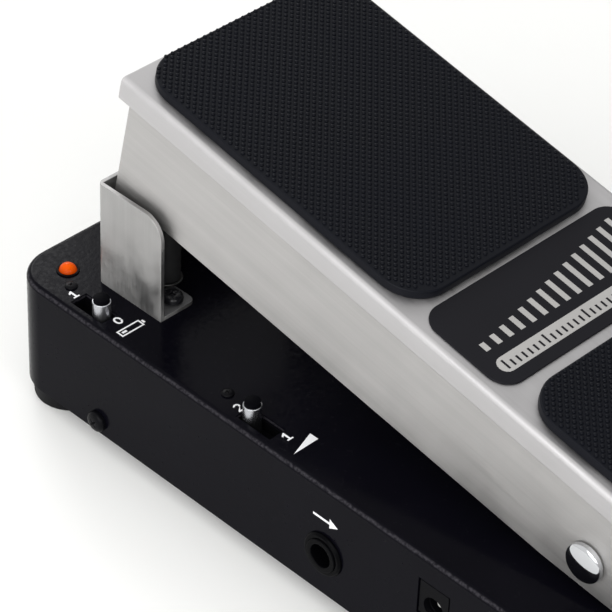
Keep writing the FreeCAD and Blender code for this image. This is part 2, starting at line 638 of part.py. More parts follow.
def make_stops():
    top = block("StopTop", 30, 16, 1.5, 0, HEEL_STOP_Y, f"{TOP}+{HEEL_STOP_RISE}-1.5")
    parts = [top]
    for sign in SIDES.values():
        parts.append(block("StopLeg", 1.5, 16, HEEL_STOP_RISE, f"{sign}*14.25", HEEL_STOP_Y, TOP))
        parts.append(block("StopFoot", 11, 16, 1.5, f"{sign}*19", HEEL_STOP_Y, TOP))
    holes = [rod("StopHole", 1.6, 4, f"{sign}*20", HEEL_STOP_Y, f"{TOP}-1") for sign in SIDES.values()]
    add_node("heel_stop_bracket", cut("heel_stop_bracket", fuse("StopSolid", *parts), *holes))
    add_node("heel_stop_pad",
             block("heel_stop_pad", 26, 14, 2.2, 0, HEEL_STOP_Y, f"{TOP}+{HEEL_STOP_RISE}"))
    pads = [block("ToeStop", 5.6, 11, 2.5, f"{sign}*33.9", 102, TOP) for sign in SIDES.values()]
    add_node("toe_stop_pads", group("toe_stop_pads", *pads))


# ---- drive: pot on a bracket, pinion on its shaft, rack pinned to the treadle ----

POT_PLATE_X = 8.75
POT_SCREWS = [("14", f"{PINION_Y}-12"), ("14", f"{PINION_Y}+12")]
GUIDE_BLOCK_SCREWS = [(x, f"{RACK_Y}+5.2") for x in ("-3.2", "3.2")]
STOP_SCREWS = [(x, HEEL_STOP_Y) for x in ("-20", "20")]


def make_pot():
    flange = block("PotFlange", 12, 30, 1.5, 14, PINION_Y, f"{UNDER_TOP}-1.5")
    plate = block("PotPlate", 1.5, 21, 24, POT_PLATE_X, PINION_Y, f"{UNDER_TOP}-24")
    hole = rod("PotHole", 3.5, 4, POT_PLATE_X - 2, PINION_Y, "pinion_z", ALONG_X)
    holes = [rod("PotScrewHole", 1.5, 4, x, y, f"{UNDER_TOP}-3") for x, y in POT_SCREWS]
    add_node("pot_bracket", cut("pot_bracket", fuse("PotAngle", flange, plate), hole, *holes))
    can = rod("PotCan", "pot_radius", 8.5, POT_PLATE_X + 0.75, PINION_Y, "pinion_z", ALONG_X)
    bush = rod("PotBush", 3.5, 4.5, POT_PLATE_X + 0.75, PINION_Y, "pinion_z", AGAINST_X)
    bore = rod("PotBore", "shoulder_radius+running_gap", 10, 5, PINION_Y, "pinion_z", ALONG_X)
    add_node("pot_body", cut("pot_body", fuse("PotSolid", can, bush), bore))
    add_node("pot_nut", nut("pot_nut", 5.8, 3.5, 2, POT_PLATE_X - 0.75, PINION_Y, "pinion_z", AGAINST_X))
    add_node("pot_shaft", rod("pot_shaft", "shoulder_radius", 18, -4, PINION_Y, "pinion_z", ALONG_X))


def make_pinion():
    body = start_body("Pinion")
    put(body, 0, PINION_Y, "pinion_z")
    disc = start_sketch(body, "YZ_Plane", "Disc")
    draw_circle(disc, "pinion_pitch_radius-1.15")
    pad(body, disc, "pinion_width", middle=True)
    tooth = start_sketch(body, "YZ_Plane", "Tooth")
    root, tip = "pinion_pitch_radius-1.5", "pinion_pitch_radius+addendum"
    draw_outline(tooth, [(root, "-0.95"), (tip, "-0.36"), (tip, "0.36"), (root, "0.95")])
    one = pad(body, tooth, "pinion_width", middle=True)
    ring = body.newObject("PartDesign::PolarPattern", "PinionTeeth")
    ring.Originals = [one]
    ring.Axis = (origin_feature(body, "X_Axis"), [""])
    ring.Angle = 360
    ring.Occurrences = PINION_TEETH
    body.Tip = ring
    doc.recompute()
    bore = start_sketch(body, "YZ_Plane", "Bore")
    draw_circle(bore, "shoulder_radius")
    pocket(body, bore, "pinion_width+2", middle=True)
    add_node("pinion_gear", body)


def make_rack():
    body = start_body("Rack")
    put(body, 0, RACK_Y, "pinion_z")
    bar = start_sketch(body, "YZ_Plane", "Bar")
    pin_rise = f"({PIN_Z}-pinion_z)"
    neck = f"{pin_rise}-4.5"
    draw_outline(bar, [("-rack_depth/2", "-3"), ("rack_depth/2", "-3"), ("rack_depth/2", neck),
                       ("6.5", neck), ("6.5", f"{pin_rise}+4.5"), ("-6.5", f"{pin_rise}+4.5"),
                       ("-6.5", neck), ("-rack_depth/2", neck)])
    pad(body, bar, "rack_width", middle=True)
    gap = start_sketch(body, "YZ_Plane", "Gap")
    mouth, floor = "-rack_depth/2-0.2", "addendum+1.15-rack_depth/2"
    draw_outline(gap, [(mouth, f"-1.5*{TOOTH_PITCH}+0.32"), (mouth, f"-0.5*{TOOTH_PITCH}-0.32"),
                       (floor, f"0.48-{TOOTH_PITCH}"), (floor, f"-0.48-{TOOTH_PITCH}")])
    one = pocket(body, gap, "rack_width+2", middle=True)
    row = body.newObject("PartDesign::LinearPattern", "RackGaps")
    row.Originals = [one]
    row.Direction = (origin_feature(body, "Z_Axis"), [""])
    bind(row, Length=f"{TOOTH_PITCH}*{RACK_GAPS - 1}")
    row.Occurrences = RACK_GAPS
    body.Tip = row
    doc.recompute()
    slot = start_sketch(body, "YZ_Plane", "Slot")
    draw_rectangle(slot, "2*pin_radius+3", "2*pin_radius+0.7", "0.3", pin_rise)
    pocket(body, slot, "rack_width+2", middle=True)
    add_node("drive_rack", body)


def make_rack_guide():
    solid = block("GuideBlock", 11, 7.2, 20, 0, f"{RACK_Y}+4", f"{UNDER_TOP}-20")
    groove = block("GuideGroove", "rack_width+0.6", "rack_depth+2", 22, 0,
                   f"{RACK_Y}-1+0.3", f"{UNDER_TOP}-21")
    holes = [rod("BlockHole", 1, 12, x, y, f"{UNDER_TOP}-8") for x, y in GUIDE_BLOCK_SCREWS]
    add_node("rack_guide", cut("rack_guide", solid, groove, *holes))


def make_drive_arm():
    flange = block("ArmFlange", 24, 12, 1.5, 0, "pin_reach", f"{WEB_UNDERSIDE}-1.5")
    parts = [flange]
    for sign in SIDES.values():
        parts.append(block("ArmEar", 1.5, 11, f"{WEB_UNDERSIDE}+pin_drop+3.7", f"{sign}*5", "pin_reach",
                           "-pin_drop-3.7"))
    hole = rod("ArmHole", "pin_radius", 20, -10, "pin_reach", "-pin_drop", ALONG_X)
    add_node("drive_arm", on_treadle(cut("drive_arm", fuse("ArmSolid", *parts), hole)))
    pin = group("drive_pin", rod("PinRod", "pin_radius", 13, -6.5, "pin_reach", "-pin_drop", ALONG_X))
    add_node("drive_pin", on_treadle(pin))


def make_small_fasteners():
    """Screws that the treadle hides, and every M3 nut under the top."""
    screws = [screw("InnerScrew", 2.7, 1.8, 1.5, 6, x, y, TOP) for x, y in POT_SCREWS]
    screws += [screw("GuideBlockScrew", 1.8, 1.2, 1, 8, x, y, TOP) for x, y in GUIDE_BLOCK_SCREWS]
    screws += [screw("StopScrew", 2.7, 1.8, 1.5, 7.5, x, y, f"{TOP}+1.5") for x, y in STOP_SCREWS]
    add_node("inner_screws", group("inner_screws", *screws))
    spots = [(x, y, f"{UNDER_TOP}-2.4") for x, y in GUIDE_SCREWS + STOP_SCREWS]
    spots += [(f"{sign}*spring_x", "spring_y", f"{UNDER_TOP}-2.4") for sign in SIDES.values()]
    spots += [(x, y, f"{UNDER_TOP}-3.9") for x, y in POT_SCREWS]
    spots += [(foot_x(sign), foot_y(end), PLATE_TOP) for sign in SIDES.values() for end in SIDES.values()]
    add_node("m3_nuts", group("m3_nuts", *[nut("SmallNut", 3.1, 1.5, 2.4, *spot) for spot in spots]))
    large = [nut("LargeNut", 4, 2, 3.2, x, y, f"{UNDER_TOP}-3.2") for x, y in BRACKET_SCREWS]
    add_node("m4_nuts", group("m4_nuts", *large))


# ---- treadle ----

def folded_channel(name, width, wall, outline, hollow):
    """A channel of sheet metal: a side outline across the full width, less a hollow between its walls."""
    body = start_body(name)
    side = start_sketch(body, "YZ_Plane", "Side")
    draw_outline(side, outline)
    pad(body, side, width, middle=True)
    inside = start_sketch(body, "YZ_Plane", "Inside")
    draw_outline(inside, hollow)
    pocket(body, inside, f"{width}-2*{wall}", middle=True)
    return body


def make_channel():
    high, under = "face_rise-cover_wall", WEB_UNDERSIDE
    toe, heel = "toe_reach-0.5", "toe_reach-cover_length+1"
    skirt = "toe_reach-skirt_setback"
    body = folded_channel("Channel", "(cover_width-2*cover_wall)", "channel_wall", [
        (heel, high), (heel, "skirt_heel_rise"), ("-heel_knee_reach", "-heel_knee_drop"),
        ("0-2.5", "-knee_drop+1"), ("knee_reach", "-knee_drop"), (skirt, "-skirt_toe_drop"),
        (skirt, under), (toe, under), (toe, high)],
        [(f"{heel}-2", under), (f"{heel}-2", "-30"), ("toe_reach+2", "-30"), ("toe_reach+2", under)])
    top = SIZES["face_rise"] - SIZES["cover_wall"] - 0.01
    round_edges(body, "0.8", lambda edge: runs_along(edge, "y") and edge.BoundBox.ZMin > top)
    holes = start_sketch(body, "YZ_Plane", "Hinge")
    draw_circle(holes, "bush_radius")
    pocket(body, holes, "cover_width+10", middle=True)
    add_node("treadle_channel", on_treadle(body))


def make_cover():
    low, high, under = "face_rise-cover_lip", "face_rise", "face_rise-cover_wall"
    heel = "toe_reach-cover_length"
    body = folded_channel("Cover", "cover_width", "cover_wall",
                          [(heel, low), ("toe_reach", low), ("toe_reach", high), (heel, high)],
                          [(f"{heel}-2", f"{low}-2"), ("toe_reach+2", f"{low}-2"),
                           ("toe_reach+2", under), (f"{heel}-2", under)])
    top = SIZES["face_rise"] - 0.01
    round_edges(body, "cover_round", lambda edge: runs_along(edge, "y") and edge.BoundBox.ZMin > top)
    round_edges(body, "0.7", lambda edge: runs_along(edge, "y")
                and abs(edge.BoundBox.ZMin - top + SIZES["cover_wall"] - 0.01) < 0.02)
    add_node("treadle_cover", on_treadle(body))


def make_face_piece(label, length, height, corner, toe_edge):
    """A flat piece with rounded corners glued on the treadle's face, its toe edge at the reach given."""
    body = start_body(label)
    outline = start_sketch(body, "XY_Plane", "Outline")
    draw_rectangle(outline, "pad_width", length, "0", f"{toe_edge}-({length})/2")
    pad(body, outline, f"face_rise+{height}")
    round_edges(body, corner, lambda edge: runs_along(edge, "z"))
    below = start_sketch(body, "XY_Plane", "Below")
    draw_rectangle(below, "pad_width+4", f"{length}+4", "0", f"{toe_edge}-({length})/2")
    pocket(body, below, "face_rise", reverse=True)
    add_node(label, on_treadle(body))


def make_face():
    toe_pad = "toe_reach-toe_pad_margin"
    badge = f"{toe_pad}-toe_pad_length-badge_gap"
    heel_pad = f"{badge}-badge_length-heel_pad_gap"
    make_face_piece("toe_pad", "toe_pad_length", "pad_height", "pad_corner", toe_pad)
    make_face_piece("badge_plate", "badge_length", "badge_height", "badge_corner", badge)
    make_face_piece("heel_pad", "heel_pad_length", "pad_height", "pad_corner", heel_pad)


# ---- build, check and export ----

# Every round hole in the base's top: x, y and radius.
TOP_HOLES = [(x, y, 1.6) for x, y in GUIDE_SCREWS + POT_SCREWS + STOP_SCREWS]
TOP_HOLES += [(f"{sign}*spring_x", "spring_y", 1.6) for sign in SIDES.values()]
TOP_HOLES += [(x, y, 2.1) for x, y in BRACKET_SCREWS]
TOP_HOLES += [(x, y, 1.1) for x, y in BOARD_POSTS + GUIDE_BLOCK_SCREWS]

make_base_shell()
make_bottom_plate()
make_feet()
make_guide()
make_springs()
make_lamp()
make_switch("battery", "-")
make_switch("bass", "+")
make_jacks()
make_power_socket()
make_board()
make_battery()
make_leads()
make_hinge()
make_stops()
make_pot()
make_pinion()
make_rack()
make_rack_guide()
make_drive_arm()
make_small_fasteners()
make_channel()
make_cover()
make_face()

doc.recompute()
for item in doc.Objects:
    if "Invalid" in item.State or "Error" in item.State:
        raise RuntimeError(f"{item.Label} failed: {item.State}")
os.makedirs("parts", exist_ok=True)
for item in nodes:
    if item.Shape.isNull() or not item.Shape.isValid() or not item.Shape.Solids:
        raise RuntimeError(f"{item.Label} has no valid shape")
    item.Shape.exportStep(f"parts/{item.Label}.step")
print(len(nodes), "nodes")
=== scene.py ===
import bmesh
import bpy
import json
import math
from mathutils import Matrix, Vector
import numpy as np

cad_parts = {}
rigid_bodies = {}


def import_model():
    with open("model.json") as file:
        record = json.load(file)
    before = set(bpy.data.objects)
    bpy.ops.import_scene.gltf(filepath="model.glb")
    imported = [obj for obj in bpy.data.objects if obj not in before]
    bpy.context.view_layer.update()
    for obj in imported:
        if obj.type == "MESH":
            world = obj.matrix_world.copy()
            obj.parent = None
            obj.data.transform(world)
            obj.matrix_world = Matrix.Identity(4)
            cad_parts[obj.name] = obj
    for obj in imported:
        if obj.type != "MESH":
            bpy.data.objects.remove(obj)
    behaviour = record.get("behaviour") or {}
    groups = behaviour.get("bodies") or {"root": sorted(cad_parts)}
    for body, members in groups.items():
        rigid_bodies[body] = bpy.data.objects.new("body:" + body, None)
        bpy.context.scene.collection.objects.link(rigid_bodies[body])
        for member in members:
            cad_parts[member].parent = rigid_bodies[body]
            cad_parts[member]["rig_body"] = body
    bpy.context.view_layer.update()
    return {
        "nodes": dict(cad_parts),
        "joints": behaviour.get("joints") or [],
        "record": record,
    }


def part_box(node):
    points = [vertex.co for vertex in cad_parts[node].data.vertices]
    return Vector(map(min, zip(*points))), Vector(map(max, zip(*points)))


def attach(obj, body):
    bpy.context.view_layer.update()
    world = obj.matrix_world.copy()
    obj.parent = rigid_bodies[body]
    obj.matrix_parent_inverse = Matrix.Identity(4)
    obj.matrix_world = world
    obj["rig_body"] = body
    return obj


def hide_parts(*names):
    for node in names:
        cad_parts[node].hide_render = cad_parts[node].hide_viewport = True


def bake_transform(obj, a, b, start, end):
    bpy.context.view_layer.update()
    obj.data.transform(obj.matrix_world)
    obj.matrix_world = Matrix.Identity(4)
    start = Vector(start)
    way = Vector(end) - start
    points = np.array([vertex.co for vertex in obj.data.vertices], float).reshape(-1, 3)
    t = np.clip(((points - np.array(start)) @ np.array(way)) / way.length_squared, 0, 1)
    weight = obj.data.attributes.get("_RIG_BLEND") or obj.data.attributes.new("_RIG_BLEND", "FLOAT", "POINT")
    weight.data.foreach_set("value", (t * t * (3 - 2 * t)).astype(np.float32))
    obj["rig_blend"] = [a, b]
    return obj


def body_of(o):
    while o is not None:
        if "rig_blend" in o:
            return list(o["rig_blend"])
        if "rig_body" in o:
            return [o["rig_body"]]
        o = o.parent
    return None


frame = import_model()
nodes = frame["nodes"]
scene = bpy.context.scene
MM = 0.001

# ---- studio ----
# A plain pale floor under soft light: one large soft box on the player's left, two weaker ones over the toe and
# the heel, and a white sky that dims towards the right and the heel, so that the black deck stays dark.

def link(piece):
    scene.collection.objects.link(piece)
    return piece


def soft_light(name, place, aim, size, watts):
    """A square soft box that faces a point."""
    lamp = bpy.data.lights.new(name, "AREA")
    lamp.shape = "SQUARE"
    lamp.size = size
    lamp.energy = watts
    holder = link(bpy.data.objects.new(name, lamp))
    holder.location = place
    holder.rotation_euler = (Vector(aim) - Vector(place)).to_track_quat("-Z", "Y").to_euler()


soft_light("key_box", (-1.30, -0.44, 0.85), (-0.05, 0.0, 0.03), 1.30, 14.0)
soft_light("toe_box", (0.64, 1.30, 0.88), (-0.04, 0.11, 0.04), 0.50, 4.3)
soft_light("heel_box", (-0.30, -1.50, 0.90), (0.0, 0.0, 0.05), 0.80, 5.0)

SKY_BRIGHT, SKY_DIM, FALL_START, FALL_STOP = 1.0, 0.24, 0.05, 0.75
DIM_SIDE = 0.62  # radians from +X towards the heel
sky = bpy.data.worlds.new("pale_sky")
sky.use_nodes = True
sky_tree, sky_shader = sky.node_tree, sky.node_tree.nodes["Background"]
sky_shader.inputs["Color"].default_value = (1.0, 1.0, 0.99, 1.0)
scene.world = sky
scene.view_settings.view_transform = "Standard"
looked = sky_tree.nodes.new("ShaderNodeTexCoord")
facing = sky_tree.nodes.new("ShaderNodeVectorMath")
facing.operation = "DOT_PRODUCT"
facing.inputs[1].default_value = (math.cos(DIM_SIDE), -math.sin(DIM_SIDE), 0.0)
fall = sky_tree.nodes.new("ShaderNodeMapRange")
fall.interpolation_type = "SMOOTHSTEP"
for index, value in enumerate((FALL_START, FALL_STOP, SKY_BRIGHT, SKY_DIM)):
    fall.inputs[index + 1].default_value = value
sky_tree.links.new(looked.outputs["Generated"], facing.inputs[0])
sky_tree.links.new(facing.outputs["Value"], fall.inputs[0])
sky_tree.links.new(fall.outputs[0], sky_shader.inputs["Strength"])

FLOOR_REACH = 3
floor_mesh = bpy.data.meshes.new("studio_floor")
floor_mesh.from_pydata([(x * FLOOR_REACH, y * FLOOR_REACH, 0) for x, y in ((-1, -1), (1, -1), (1, 1), (-1, 1))],
                       [], [(0, 1, 2, 3)])
floor = link(bpy.data.objects.new("studio_floor", floor_mesh))
floor_paint = bpy.data.materials.new("floor_paint")
floor_paint.use_nodes = True
floor_shader = floor_paint.node_tree.nodes["Principled BSDF"]
floor_shader.inputs["Base Color"].default_value = (0.93, 0.93, 0.92, 1.0)
floor_shader.inputs["Roughness"].default_value = 0.9
floor_mesh.materials.append(floor_paint)

CAMERA_PLACE = (-0.45760, -0.36394, 0.53169)
CAMERA_AZIMUTH, CAMERA_ELEVATION, CAMERA_ROLL = map(math.radians, (-46.314, 38.295, 2.421))
CAMERA_LENS, CAMERA_SENSOR, CAMERA_NEAR = 181.2, 36, 0.05
back = Vector((math.sin(CAMERA_AZIMUTH) * math.cos(CAMERA_ELEVATION),
               -math.cos(CAMERA_AZIMUTH) * math.cos(CAMERA_ELEVATION), math.sin(CAMERA_ELEVATION)))
level = Vector((math.cos(CAMERA_AZIMUTH), math.sin(CAMERA_AZIMUTH), 0))
upward = back.cross(level)
right = math.cos(CAMERA_ROLL) * level + math.sin(CAMERA_ROLL) * upward
upward = -math.sin(CAMERA_ROLL) * level + math.cos(CAMERA_ROLL) * upward
camera = link(bpy.data.objects.new("camera", bpy.data.cameras.new("camera")))
camera.data.lens, camera.data.sensor_width, camera.data.clip_start = CAMERA_LENS, CAMERA_SENSOR, CAMERA_NEAR
camera.matrix_world = Matrix.Translation(CAMERA_PLACE) @ Matrix((right, upward, back)).transposed().to_4x4()
scene.camera = camera


# ---- base shell and bottom plate ----
# The base is a tray pressed from 1.5 mm steel, open below and closed by a flat plate with four upright tabs.
# Both are black powder coat in a fine orange-peel grain, worn paler along the top edge with a painted highlight.

def group_of(name, inputs, outputs):
    """An empty shader group with named sockets; an input is (name, kind, value)."""
    group = bpy.data.node_groups.new(name, "ShaderNodeTree")
    for label, kind, value in inputs:
        socket = group.interface.new_socket(label, in_out="INPUT", socket_type=kind)
        if value is not None:
            socket.default_value = value
    for label in outputs:
        group.interface.new_socket(label, in_out="OUTPUT", socket_type="NodeSocketFloat")
    return group, group.nodes.new("NodeGroupInput"), group.nodes.new("NodeGroupOutput")


def node_in(tree, kind, settings=(), **inputs):
    """A node with its settings and inputs; an input may be a value or another node's output."""
    made = tree.nodes.new(kind)
    for label, value in settings:
        setattr(made, label, value)
    for label, value in inputs.items():
        socket = made.inputs[int(label[1:])] if label[1:].isdigit() else made.inputs[label.replace("_", " ")]
        if isinstance(value, bpy.types.NodeSocket):
            tree.links.new(value, socket)
        else:
            socket.default_value = value
    return made


def math_in(tree, operation, first, second=0.0):
    return node_in(tree, "ShaderNodeMath", [("operation", operation)], _0=first, _1=second).outputs[0]


def coat_grain_group():
    """Orange peel: small soft lumps for the height, and large faint clouds for the tone."""
    group, given, result = group_of("coat_grain", [("Vector", "NodeSocketVector", None),
                                                   ("Scale", "NodeSocketFloat", 900.0)], ["Height", "Clouds"])
    fine = node_in(group, "ShaderNodeTexNoise", Vector=given.outputs["Vector"], Scale=given.outputs["Scale"],
                   Detail=3.0, Roughness=0.55)
    lumps = node_in(group, "ShaderNodeTexVoronoi", [("feature", "SMOOTH_F1")], Vector=given.outputs["Vector"],
                    Scale=given.outputs["Scale"])
    clouds = node_in(group, "ShaderNodeTexNoise", Vector=given.outputs["Vector"], Scale=45.0, Detail=4.0)
    mixed = math_in(group, "ADD", math_in(group, "MULTIPLY", fine.outputs["Fac"], 0.6),
                    math_in(group, "MULTIPLY", lumps.outputs["Distance"], 0.5))
    group.links.new(mixed, result.inputs["Height"])
    group.links.new(clouds.outputs["Fac"], result.inputs["Clouds"])
    return group


COAT_GRAIN = coat_grain_group()


def finish(name, colour, rough, metal=0.0, **sockets):
    """A material with the Principled shader's plain values set."""
    made = bpy.data.materials.new(name)
    made.use_nodes = True
    shader = made.node_tree.nodes["Principled BSDF"]
    shader.inputs["Base Color"].default_value = (*colour, 1.0)
    shader.inputs["Roughness"].default_value = rough
    shader.inputs["Metallic"].default_value = metal
    for label, value in sockets.items():
        shader.inputs[label.replace("_", " ")].default_value = value
    return made


def shader_of(material):
    return material.node_tree.nodes["Principled BSDF"]


def coordinates(material, axis=None, kind="Object"):
    """Where a point is in its piece, or one axis of that; or which way its surface faces."""
    vector = node_in(material.node_tree, "ShaderNodeTexCoord").outputs[kind]
    return node_in(material.node_tree, "ShaderNodeSeparateXYZ", Vector=vector).outputs[axis] if axis else vector


def pattern(material, group, **inputs):
    """A pattern group in a material, on Object coordinates unless it is given another vector."""
    inputs.setdefault("Vector", coordinates(material))
    return node_in(material.node_tree, "ShaderNodeGroup", [("node_tree", group)], **inputs)


def spread(material, source, low, high, start=0.0, stop=1.0):
    """A value that runs from low to high while the source runs from start to stop."""
    return node_in(material.node_tree, "ShaderNodeMapRange", _0=source, _1=start, _2=stop,
                   _3=low, _4=high).outputs[0]


def feed(material, label, source):
    material.node_tree.links.new(source, shader_of(material).inputs[label])


def shade(material, source, dark, light):
    """The base colour runs from dark, a colour or another mix, to light with the source; gives its mix."""
    dark = dark if isinstance(dark, bpy.types.NodeSocket) else (*dark, 1.0)
    mixed = node_in(material.node_tree, "ShaderNodeMix", [("data_type", "RGBA")], _0=source, _6=dark, _7=(*light, 1.0))
    feed(material, "Base Color", mixed.outputs[2])
    return mixed.outputs[2]


def emboss(material, source, depth, strength=1.0):
    """Real height in metres under the surface's light."""
    bump = node_in(material.node_tree, "ShaderNodeBump", Height=source, Distance=depth, Strength=strength)
    feed(material, "Normal", bump.outputs["Normal"])


COAT_BLACK, COAT_DARK, COAT_LIGHT = (0.0036, 0.0034, 0.0060), (0.0018, 0.0017, 0.0032), (0.0035, 0.0033, 0.0058)
RUBBED_EDGE_AND_HIGHLIGHT = (0.038, 0.036, 0.042)


def powder_coat(name, top_edge=None):
    """Black powder coat; given the height of a rounded top edge, it is worn paler there, with a painted highlight."""
    made = finish(name, COAT_BLACK, 0.21, IOR=1.115)
    grain = pattern(made, COAT_GRAIN, Scale=850.0)
    feed(made, "Roughness", spread(made, grain.outputs["Height"], 0.13, 0.29, 0.42, 0.72))
    emboss(made, grain.outputs["Height"], 0.04 * MM, 0.45)
    coat = shade(made, grain.outputs["Clouds"], COAT_DARK, COAT_LIGHT)
    if top_edge is None:
        return made
    tree = made.node_tree
    height = coordinates(made, "Z")
    rising = spread(made, height, 0.0, 1.0, top_edge - 1.2 * MM, top_edge - 0.8 * MM)
    falling = spread(made, height, 1.0, 0.0, top_edge - 0.5 * MM, top_edge - 0.2 * MM)
    rub = node_in(tree, "ShaderNodeTexNoise", Scale=1300.0, Detail=3.0, Roughness=0.7, Vector=coordinates(made))
    rubbed = spread(made, rub.outputs["Fac"], 0.15, 1.1, 0.38, 0.62)
    # The worn band along the top edge is also a painted highlight of the rounded edge.
    worn = math_in(tree, "MULTIPLY", math_in(tree, "MULTIPLY", rising, falling), rubbed)
    shade(made, worn, coat, RUBBED_EDGE_AND_HIGHLIGHT)
    return made


def add_piece(name, mesh, body, material=None, stands_for=()):
    """A finished mesh becomes a piece that rides on a body."""
    if material:
        mesh.materials.clear()
        mesh.materials.append(material)
    piece = link(bpy.data.objects.new(name, mesh))
    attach(piece, body)
    if stands_for:
        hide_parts(*stands_for)
    return piece


def settled(piece):
    """The mesh that a piece's modifiers make; the piece itself is removed."""
    bpy.context.view_layer.update()
    depsgraph = bpy.context.evaluated_depsgraph_get()
    mesh = bpy.data.meshes.new_from_object(piece.evaluated_get(depsgraph))
    mesh.name = piece.name
    bpy.data.objects.remove(piece)
    return mesh


def body_and_slot(node):
    """The CAD body and the material slot that a node has."""
    slots = {entry["node"]: entry["material_slot"] for entry in frame["record"]["subparts"]}
    return body_of(nodes[node])[0], slots[node]


def as_mesh(name, shape):
    """The mesh of a shape, which is used up."""
    mesh = bpy.data.meshes.new(name)
    shape.to_mesh(mesh)
    shape.free()
    return mesh


def broken(name, shape, rounding, steps=2, angle=38):
    """The mesh of a shape with its sharp edges broken by a small rounding, as a made piece has."""
    for face in shape.faces:
        face.smooth = True
    mesh = as_mesh(name, shape)
    if "custom_normal" in mesh.attributes:
        mesh.attributes.remove(mesh.attributes["custom_normal"])
    piece = link(bpy.data.objects.new(name, mesh))
    rounded = piece.modifiers.new("rounding", "BEVEL")
    rounded.width = rounding * MM
    rounded.segments = steps
    rounded.angle_limit = math.radians(angle)
    piece.modifiers.new("flat_faces", "WEIGHTED_NORMAL").keep_sharp = True
    return settled(piece)


def merged(node):
    """A CAD node's triangles joined into whole faces, as a shape to work on."""
    shape = bmesh.new()
    shape.from_mesh(nodes[node].data)
    bmesh.ops.remove_doubles(shape, verts=shape.verts, dist=1e-6)
    bmesh.ops.dissolve_limit(shape, angle_limit=math.radians(0.2), verts=shape.verts, edges=shape.edges)
    return shape


def crisp(node, rounding, material, steps=2, angle=38, shape=None):
    """Stands for a CAD piece, or for the shape that it is given, with its sharp edges broken."""
    body, slot = body_and_slot(node)
    mesh = broken(node + "_made", merged(node) if shape is None else shape, rounding, steps, angle)
    return add_piece(node + "_made", mesh, body, material, [node])


deck_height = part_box("base_shell")[1].z
crisp("base_shell", 0.18, powder_coat("base_powder_coat", deck_height))
crisp("bottom_plate", 0.25, powder_coat("plate_powder_coat"))


# ---- feet and case screws ----
# Four tapered rubber feet, each moulded with a recess for the screw that holds it, and four black pan-head
# screws, two in each side of the base, that go through the shell into the bottom plate's tabs.

def turned(profile, steps=48):
    """A round shape about Z through (radius, height) points in mm: solid from axis to axis, or else a ring."""
    shape = bmesh.new()
    rings = []
    for radius, height in profile:
        angles = [math.tau * step / steps for step in range(steps if radius > 0 else 1)]
        rings.append([shape.verts.new((radius * MM * math.cos(angle), radius * MM * math.sin(angle), height * MM))
                      for angle in angles])
    pairs = list(zip(rings, rings[1:]))
    if profile[0][0] > 0:
        pairs.append((rings[-1], rings[0]))
    for low, high in pairs:
        for step in range(steps):
            after = (step + 1) % steps
            shape.faces.new(dict.fromkeys((low[step % len(low)], low[after % len(low)],
                                           high[after % len(high)], high[step % len(high)])))
    bmesh.ops.recalc_face_normals(shape, faces=shape.faces)
    return shape


def dome(radius, low, high, steps=8, fullness=2.0):
    """Points of a crown that rises from a rim to the axis; a fuller one is flatter on top."""
    angles = [math.pi / 2 * step / steps for step in range(steps)]
    curve = [(radius * math.cos(a) ** (2 / fullness), low + (high - low) * math.sin(a) ** (2 / fullness))
             for a in angles]
    return curve + [(0, high)]


def moulded(name, colour, rough, depth=0.00002, scale=1400.0, **sockets):
    """Moulded rubber or plastic: a fine even grain, and a tone that drifts a little."""
    made = finish(name, colour, rough, **sockets)
    grain = pattern(made, COAT_GRAIN, Scale=scale)
    feed(made, "Roughness", spread(made, grain.outputs["Clouds"], rough - 0.07, rough + 0.07, 0.35, 0.65))
    shade(made, grain.outputs["Clouds"], [0.8 * part for part in colour], [1.2 * part for part in colour])
    emboss(made, grain.outputs["Height"], depth, 0.6)
    return made


def plated(name, colour, rough, depth=0.000004):
    """Plated or plain metal: faint clouds in its gloss and a trace of tooling."""
    made = finish(name, colour, rough, metal=1.0)
    grain = pattern(made, COAT_GRAIN, Scale=2600.0)
    feed(made, "Roughness", spread(made, grain.outputs["Clouds"], 0.8 * rough, 1.25 * rough, 0.35, 0.65))
    shade(made, grain.outputs["Clouds"], [0.88 * part for part in colour], colour)
    emboss(made, grain.outputs["Height"], depth, 0.5)
    return made


def solids_in(node):
    """The lowest and highest corner of each separate solid of a CAD node."""
    shape = merged(node)
    unseen, boxes = set(shape.verts), []
    while unseen:
        reached = [unseen.pop()]
        for vert in reached:
            for edge in vert.link_edges:
                other = edge.other_vert(vert)
                if other in unseen:
                    unseen.remove(other)
                    reached.append(other)
        boxes.append([Vector([pick(vert.co[axis] for vert in reached) for axis in range(3)]) for pick in (min, max)])
    shape.free()
    return sorted(boxes, key=lambda box: tuple(round(value, 6) for value in box[0]))


def shape_tree(name, inputs):
    """An empty Geometry Nodes tree with named inputs, each (name, kind), beside its geometry and its finish."""
    tree = bpy.data.node_groups.new(name, "GeometryNodeTree")
    for label, kind in (("Geometry", "Geometry"), *inputs, ("Finish", "Material")):
        tree.interface.new_socket(label, in_out="INPUT", socket_type="NodeSocket" + kind)
    tree.interface.new_socket("Geometry", in_out="OUTPUT", socket_type="NodeSocketGeometry")
    return tree, tree.nodes.new("NodeGroupInput").outputs


def end_tree(tree, given, instances):
    """The end of a tree: its instances are made real and take the finish."""
    whole = node_in(tree, "GeometryNodeRealizeInstances", Geometry=instances)
    coloured = node_in(tree, "GeometryNodeSetMaterial", Geometry=whole.outputs["Geometry"], Material=given["Finish"])
    node_in(tree, "NodeGroupOutput", Geometry=coloured.outputs["Geometry"])
    return tree


